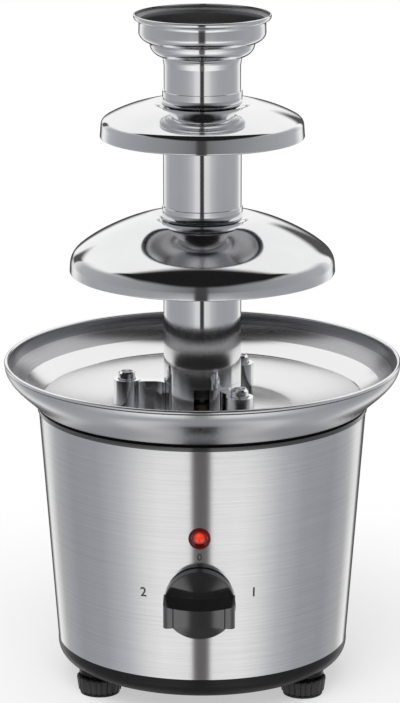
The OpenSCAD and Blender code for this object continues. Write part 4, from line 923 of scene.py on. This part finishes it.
# Finishes of the CAD pieces that stay
cadFinishes = (
    (steelMirror, ("tower_base", "locating_pins")),
    (steelPlain, ("riser_tube", "drive_shaft", "standoffs", "hanger_screws", "cover_screws", "idler_pin",
                  "rotor", "motor_can", "motor_screws", "tie_rods", "switch_spindle", "switch_nut")),
    (blackRubber, ("shaft_seal", "foot_pad_1", "foot_pad_2", "foot_pad_3")),
    (blackSatin, ("motor_cap", "cord_gland", "gland_nut")),
    (moulded("auger_grey", grey(0.22), grey(0.16), 0.42, 700, 0.04), ("auger",)),
    (moulded("white_moulding", grey(0.74), grey(0.66), 0.45, 700, 0.04),
     ("thermostat", "thermal_fuse", "gearbox_cover", "gearbox_case", "terminal_block", "switch_body",
      "lamp_body")),
    (moulded("gear_acetal", (0.72, 0.68, 0.56, 1), (0.64, 0.60, 0.48, 1), 0.40, 800, 0.03),
     ("output_gear", "idler_gear")),
    (moulded("washer_silicone", (0.32, 0.05, 0.03, 1), (0.25, 0.04, 0.025, 1), 0.5, 900, 0.05),
     ("pin_washers",)),
    (moulded("lead_silicone", (0.45, 0.06, 0.03, 1), (0.36, 0.05, 0.03, 1), 0.45, 800, 0.05),
     ("inner_leads",)),
    (spottedMetal("turned_brass", (0.62, 0.45, 0.16, 1), (0.48, 0.33, 0.11, 1), 0.26),
     ("bush_nut", "foot_inserts")),
    (spottedMetal("bush_bronze", (0.34, 0.30, 0.24, 1), (0.25, 0.22, 0.18, 1), 0.34), ("shaft_bush",)),
    (spottedMetal("cast_plate", (0.56, 0.56, 0.57, 1), (0.44, 0.44, 0.45, 1), 0.42), ("heater_plate",)),
    (spottedMetal("element_sheath", (0.10, 0.09, 0.085, 1), (0.05, 0.045, 0.045, 1), 0.5),
     ("heating_element",)),
    (windings(), ("stator",)),
)
for finish, names in cadFinishes:
    for name in names:
        if nodes[name].material_slots:
            nodes[name].material_slots[0].material = finish
        else:
            nodes[name].data.materials.append(finish)
print("CAD pieces finished:", sum(len(names) for _, names in cadFinishes))

# Floor: pale and matt round the object, where the camera sees it half as a white glow that lightens its
# shadow as painted light, and plain white beyond far
stageSet = {"floorR": 9.0, "pale": grey(0.95), "patch": grey(0.94), "patchScale": 3.0, "rough": 0.9,
            "near": 0.10, "far": 0.36, "fill": 0.5}
floorMesh = bmesh.new()
bmesh.ops.create_circle(floorMesh, cap_ends=True, segments=96, radius=stageSet["floorR"])
floor = meshPiece("floor", floorMesh)
f = Finish("pale_floor")
pos = f.add("TexCoord", give="Object")
distance = f.add("VectorMath", {"operation": "LENGTH"}, {0: pos}, give="Value")
patches = f.tint(f.noise(pos, stageSet["patchScale"]), stageSet["pale"], stageSet["patch"])
matt = f.add("BsdfPrincipled", None,
             {"Base Color": patches, "Roughness": stageSet["rough"], "Specular IOR Level": 0.0})
glow = f.add("Emission", None, {"Color": grey(1.0), "Strength": 1.0})
# painted light: near the object the camera sees the floor half as white glow, which lightens its shadow
fade = f.span(distance, stageSet["near"], stageSet["far"], stageSet["fill"], 1.0)
seen = f.add("LightPath", give="Is Camera Ray") * fade
f.add("OutputMaterial", None, {"Surface": f.add("MixShader", None, {0: seen, 1: matt, 2: glow})})
floor.data.materials.append(f.data)
floor.visible_glossy = False  # the steel shows the light panels of the world instead

# The world: soft panels that the steel mirrors, an even level for all other light
panelSet = {
    "camera": grey(1.0), "soft": grey(0.66), "white": grey(1.0), "dark": grey(0.012), "horizon": grey(0.09),
    "under": grey(0.70), "foot": cool(0.30, 0.025), "beside": cool(0.42, 0.025),
    "level": (  # round the column, a little below the horizon
        (0.0, (0.05, 0.047, 0.05, 1)), (0.026, (0.055, 0.052, 0.055, 1)), (0.040, grey(0.78)),
        (0.10, grey(0.74)), (0.16, cool(0.53)), (0.25, cool(0.41)), (0.36, cool(0.375)), (0.60, cool(0.39)),
        (0.70, cool(0.50)), (0.79, grey(0.93)), (0.845, grey(0.88)), (0.885, grey(0.10)), (1.0, grey(0.04))),
    "lower": (  # what the leaning drum wall sees
        (0.0, (0.135, 0.127, 0.127, 1)), (0.030, (0.14, 0.132, 0.132, 1)), (0.046, grey(0.96)),
        (0.17, grey(0.98)), (0.24, grey(0.86)), (0.34, cool(0.56, 0.035)), (0.45, cool(0.40, 0.035)),
        (0.60, cool(0.36, 0.035)), (0.68, cool(0.43, 0.035)), (0.75, grey(0.50)), (0.80, grey(0.78)),
        (0.845, grey(1.0)), (0.862, grey(1.0)), (0.89, grey(0.22)), (0.93, grey(0.06)), (1.0, grey(0.03))),
    "haze": (  # the dim stretch from the level up to the dark of the room
        (0.0, (0.06, 0.058, 0.06, 1)), (0.022, (0.065, 0.062, 0.065, 1)), (0.042, (0.17, 0.172, 0.183, 1)),
        (0.075, (0.20, 0.204, 0.217, 1)), (0.20, (0.27, 0.274, 0.29, 1)), (0.34, cool(0.32, 0.025)),
        (0.51, cool(0.37)), (0.72, cool(0.46)), (0.80, grey(0.84)), (0.845, grey(0.84)), (0.885, grey(0.10)),
        (1.0, grey(0.04))),
}
# Where one panel fades into the next: lift in degrees, away from 0 in front to 1 behind, the others as shares
fadeSet = {
    "hazeLift": (-9.0, -4.5), "lowerLift": (-16.0, -21.0),
    "footLift": (-34.0, -52.0), "footSide": (0.04, 0.26),
    "underLift": (-61.0, -67.0), "underSide": (0.10, 0.30),
    "darkDepth": (0.21, 0.09), "darkSide": (0.92, 0.70),
    "stripAway": (-0.1, 0.1, 0.825, 0.90), "stripWidth": (0.055, 0.03), "stripLift": (22.0, 15.0),
    "topFront": 26.0,
    "topSteps": ((0.05, 0.32, 10.0), (0.48, 0.76, -13.0), (0.76, 0.82, -24.0), (0.90, 0.94, 5.0)),
    "blurFront": 9.0, "blurSteps": ((0.76, 0.82, -6.0), (0.90, 0.94, 2.0)),
}
f = Finish("studio", world=True)
x = f.add("SeparateXYZ", None, {0: f.add("TexCoord", give="Generated")}, give="X")
y = x.also("Y")
z = x.also("Z")
side = f.math("ABSOLUTE", x)
away = f.math("ARCTAN2", side, -y) / math.pi
lift = f.math("ARCSINE", f.clamp(z, -1.0, 1.0)) * (180 / math.pi)
level, lower, haze = (f.add("ValToRGB", {"stops": panelSet[key]}, {0: away})
                      for key in ("level", "lower", "haze"))
down = f.tint(f.span(lift, *fadeSet["hazeLift"]), level, haze)
down = f.tint(f.span(lift, *fadeSet["lowerLift"]), down, lower)
below = f.tint(f.span(side, *fadeSet["footSide"]), panelSet["foot"], panelSet["beside"])
down = f.tint(f.span(lift, *fadeSet["footLift"]), down, below)
under = f.span(lift, *fadeSet["underLift"]) * f.span(side, *fadeSet["underSide"])
down = f.tint(under, down, panelSet["under"])
facing = f.span(y, *fadeSet["darkDepth"]) * f.span(side, *fadeSet["darkSide"])
stripAway = f.span(x, *fadeSet["stripAway"])  # a dark strip each side of the back
offStrip = f.math("ABSOLUTE", away - stripAway)
strip = f.span(offStrip, *fadeSet["stripWidth"]) * f.span(lift, *fadeSet["stripLift"])
up = f.tint(strip, f.tint(facing, panelSet["white"], panelSet["dark"]), panelSet["horizon"])
top = f.stepped(away, fadeSet["topFront"], fadeSet["topSteps"])  # lift of the low panels' top
blur = f.stepped(away, fadeSet["blurFront"], fadeSet["blurSteps"])
panels = f.tint(f.span(lift, top - blur, top + blur), down, up)
ray = f.add("LightPath", give="Is Camera Ray")
shiny = f.clamp(ray.also("Is Glossy Ray") + ray.also("Is Transmission Ray"))
sky = f.tint(ray, f.tint(shiny, panelSet["soft"], panels), panelSet["camera"])
f.add("OutputWorld", None, {"Surface": f.add("Background", None, {"Color": sky, "Strength": 1.0})})
scene.world = f.data

overheadSet = {"place": (-0.20, -1.10, 1.35), "aim": (0, 0, 0.15), "size": 1.4, "watts": 16.0}
light = bpy.data.lights.new("overhead", "AREA")
light.shape = "DISK"
light.size = overheadSet["size"]
light.energy = overheadSet["watts"]
overhead = bpy.data.objects.new("overhead", light)
overhead.location = overheadSet["place"]
beam = Vector(overheadSet["aim"]) - Vector(overheadSet["place"])
overhead.rotation_euler = beam.to_track_quat("-Z", "Y").to_euler()
overhead.visible_glossy = False
scene.collection.objects.link(overhead)
print("stage set")
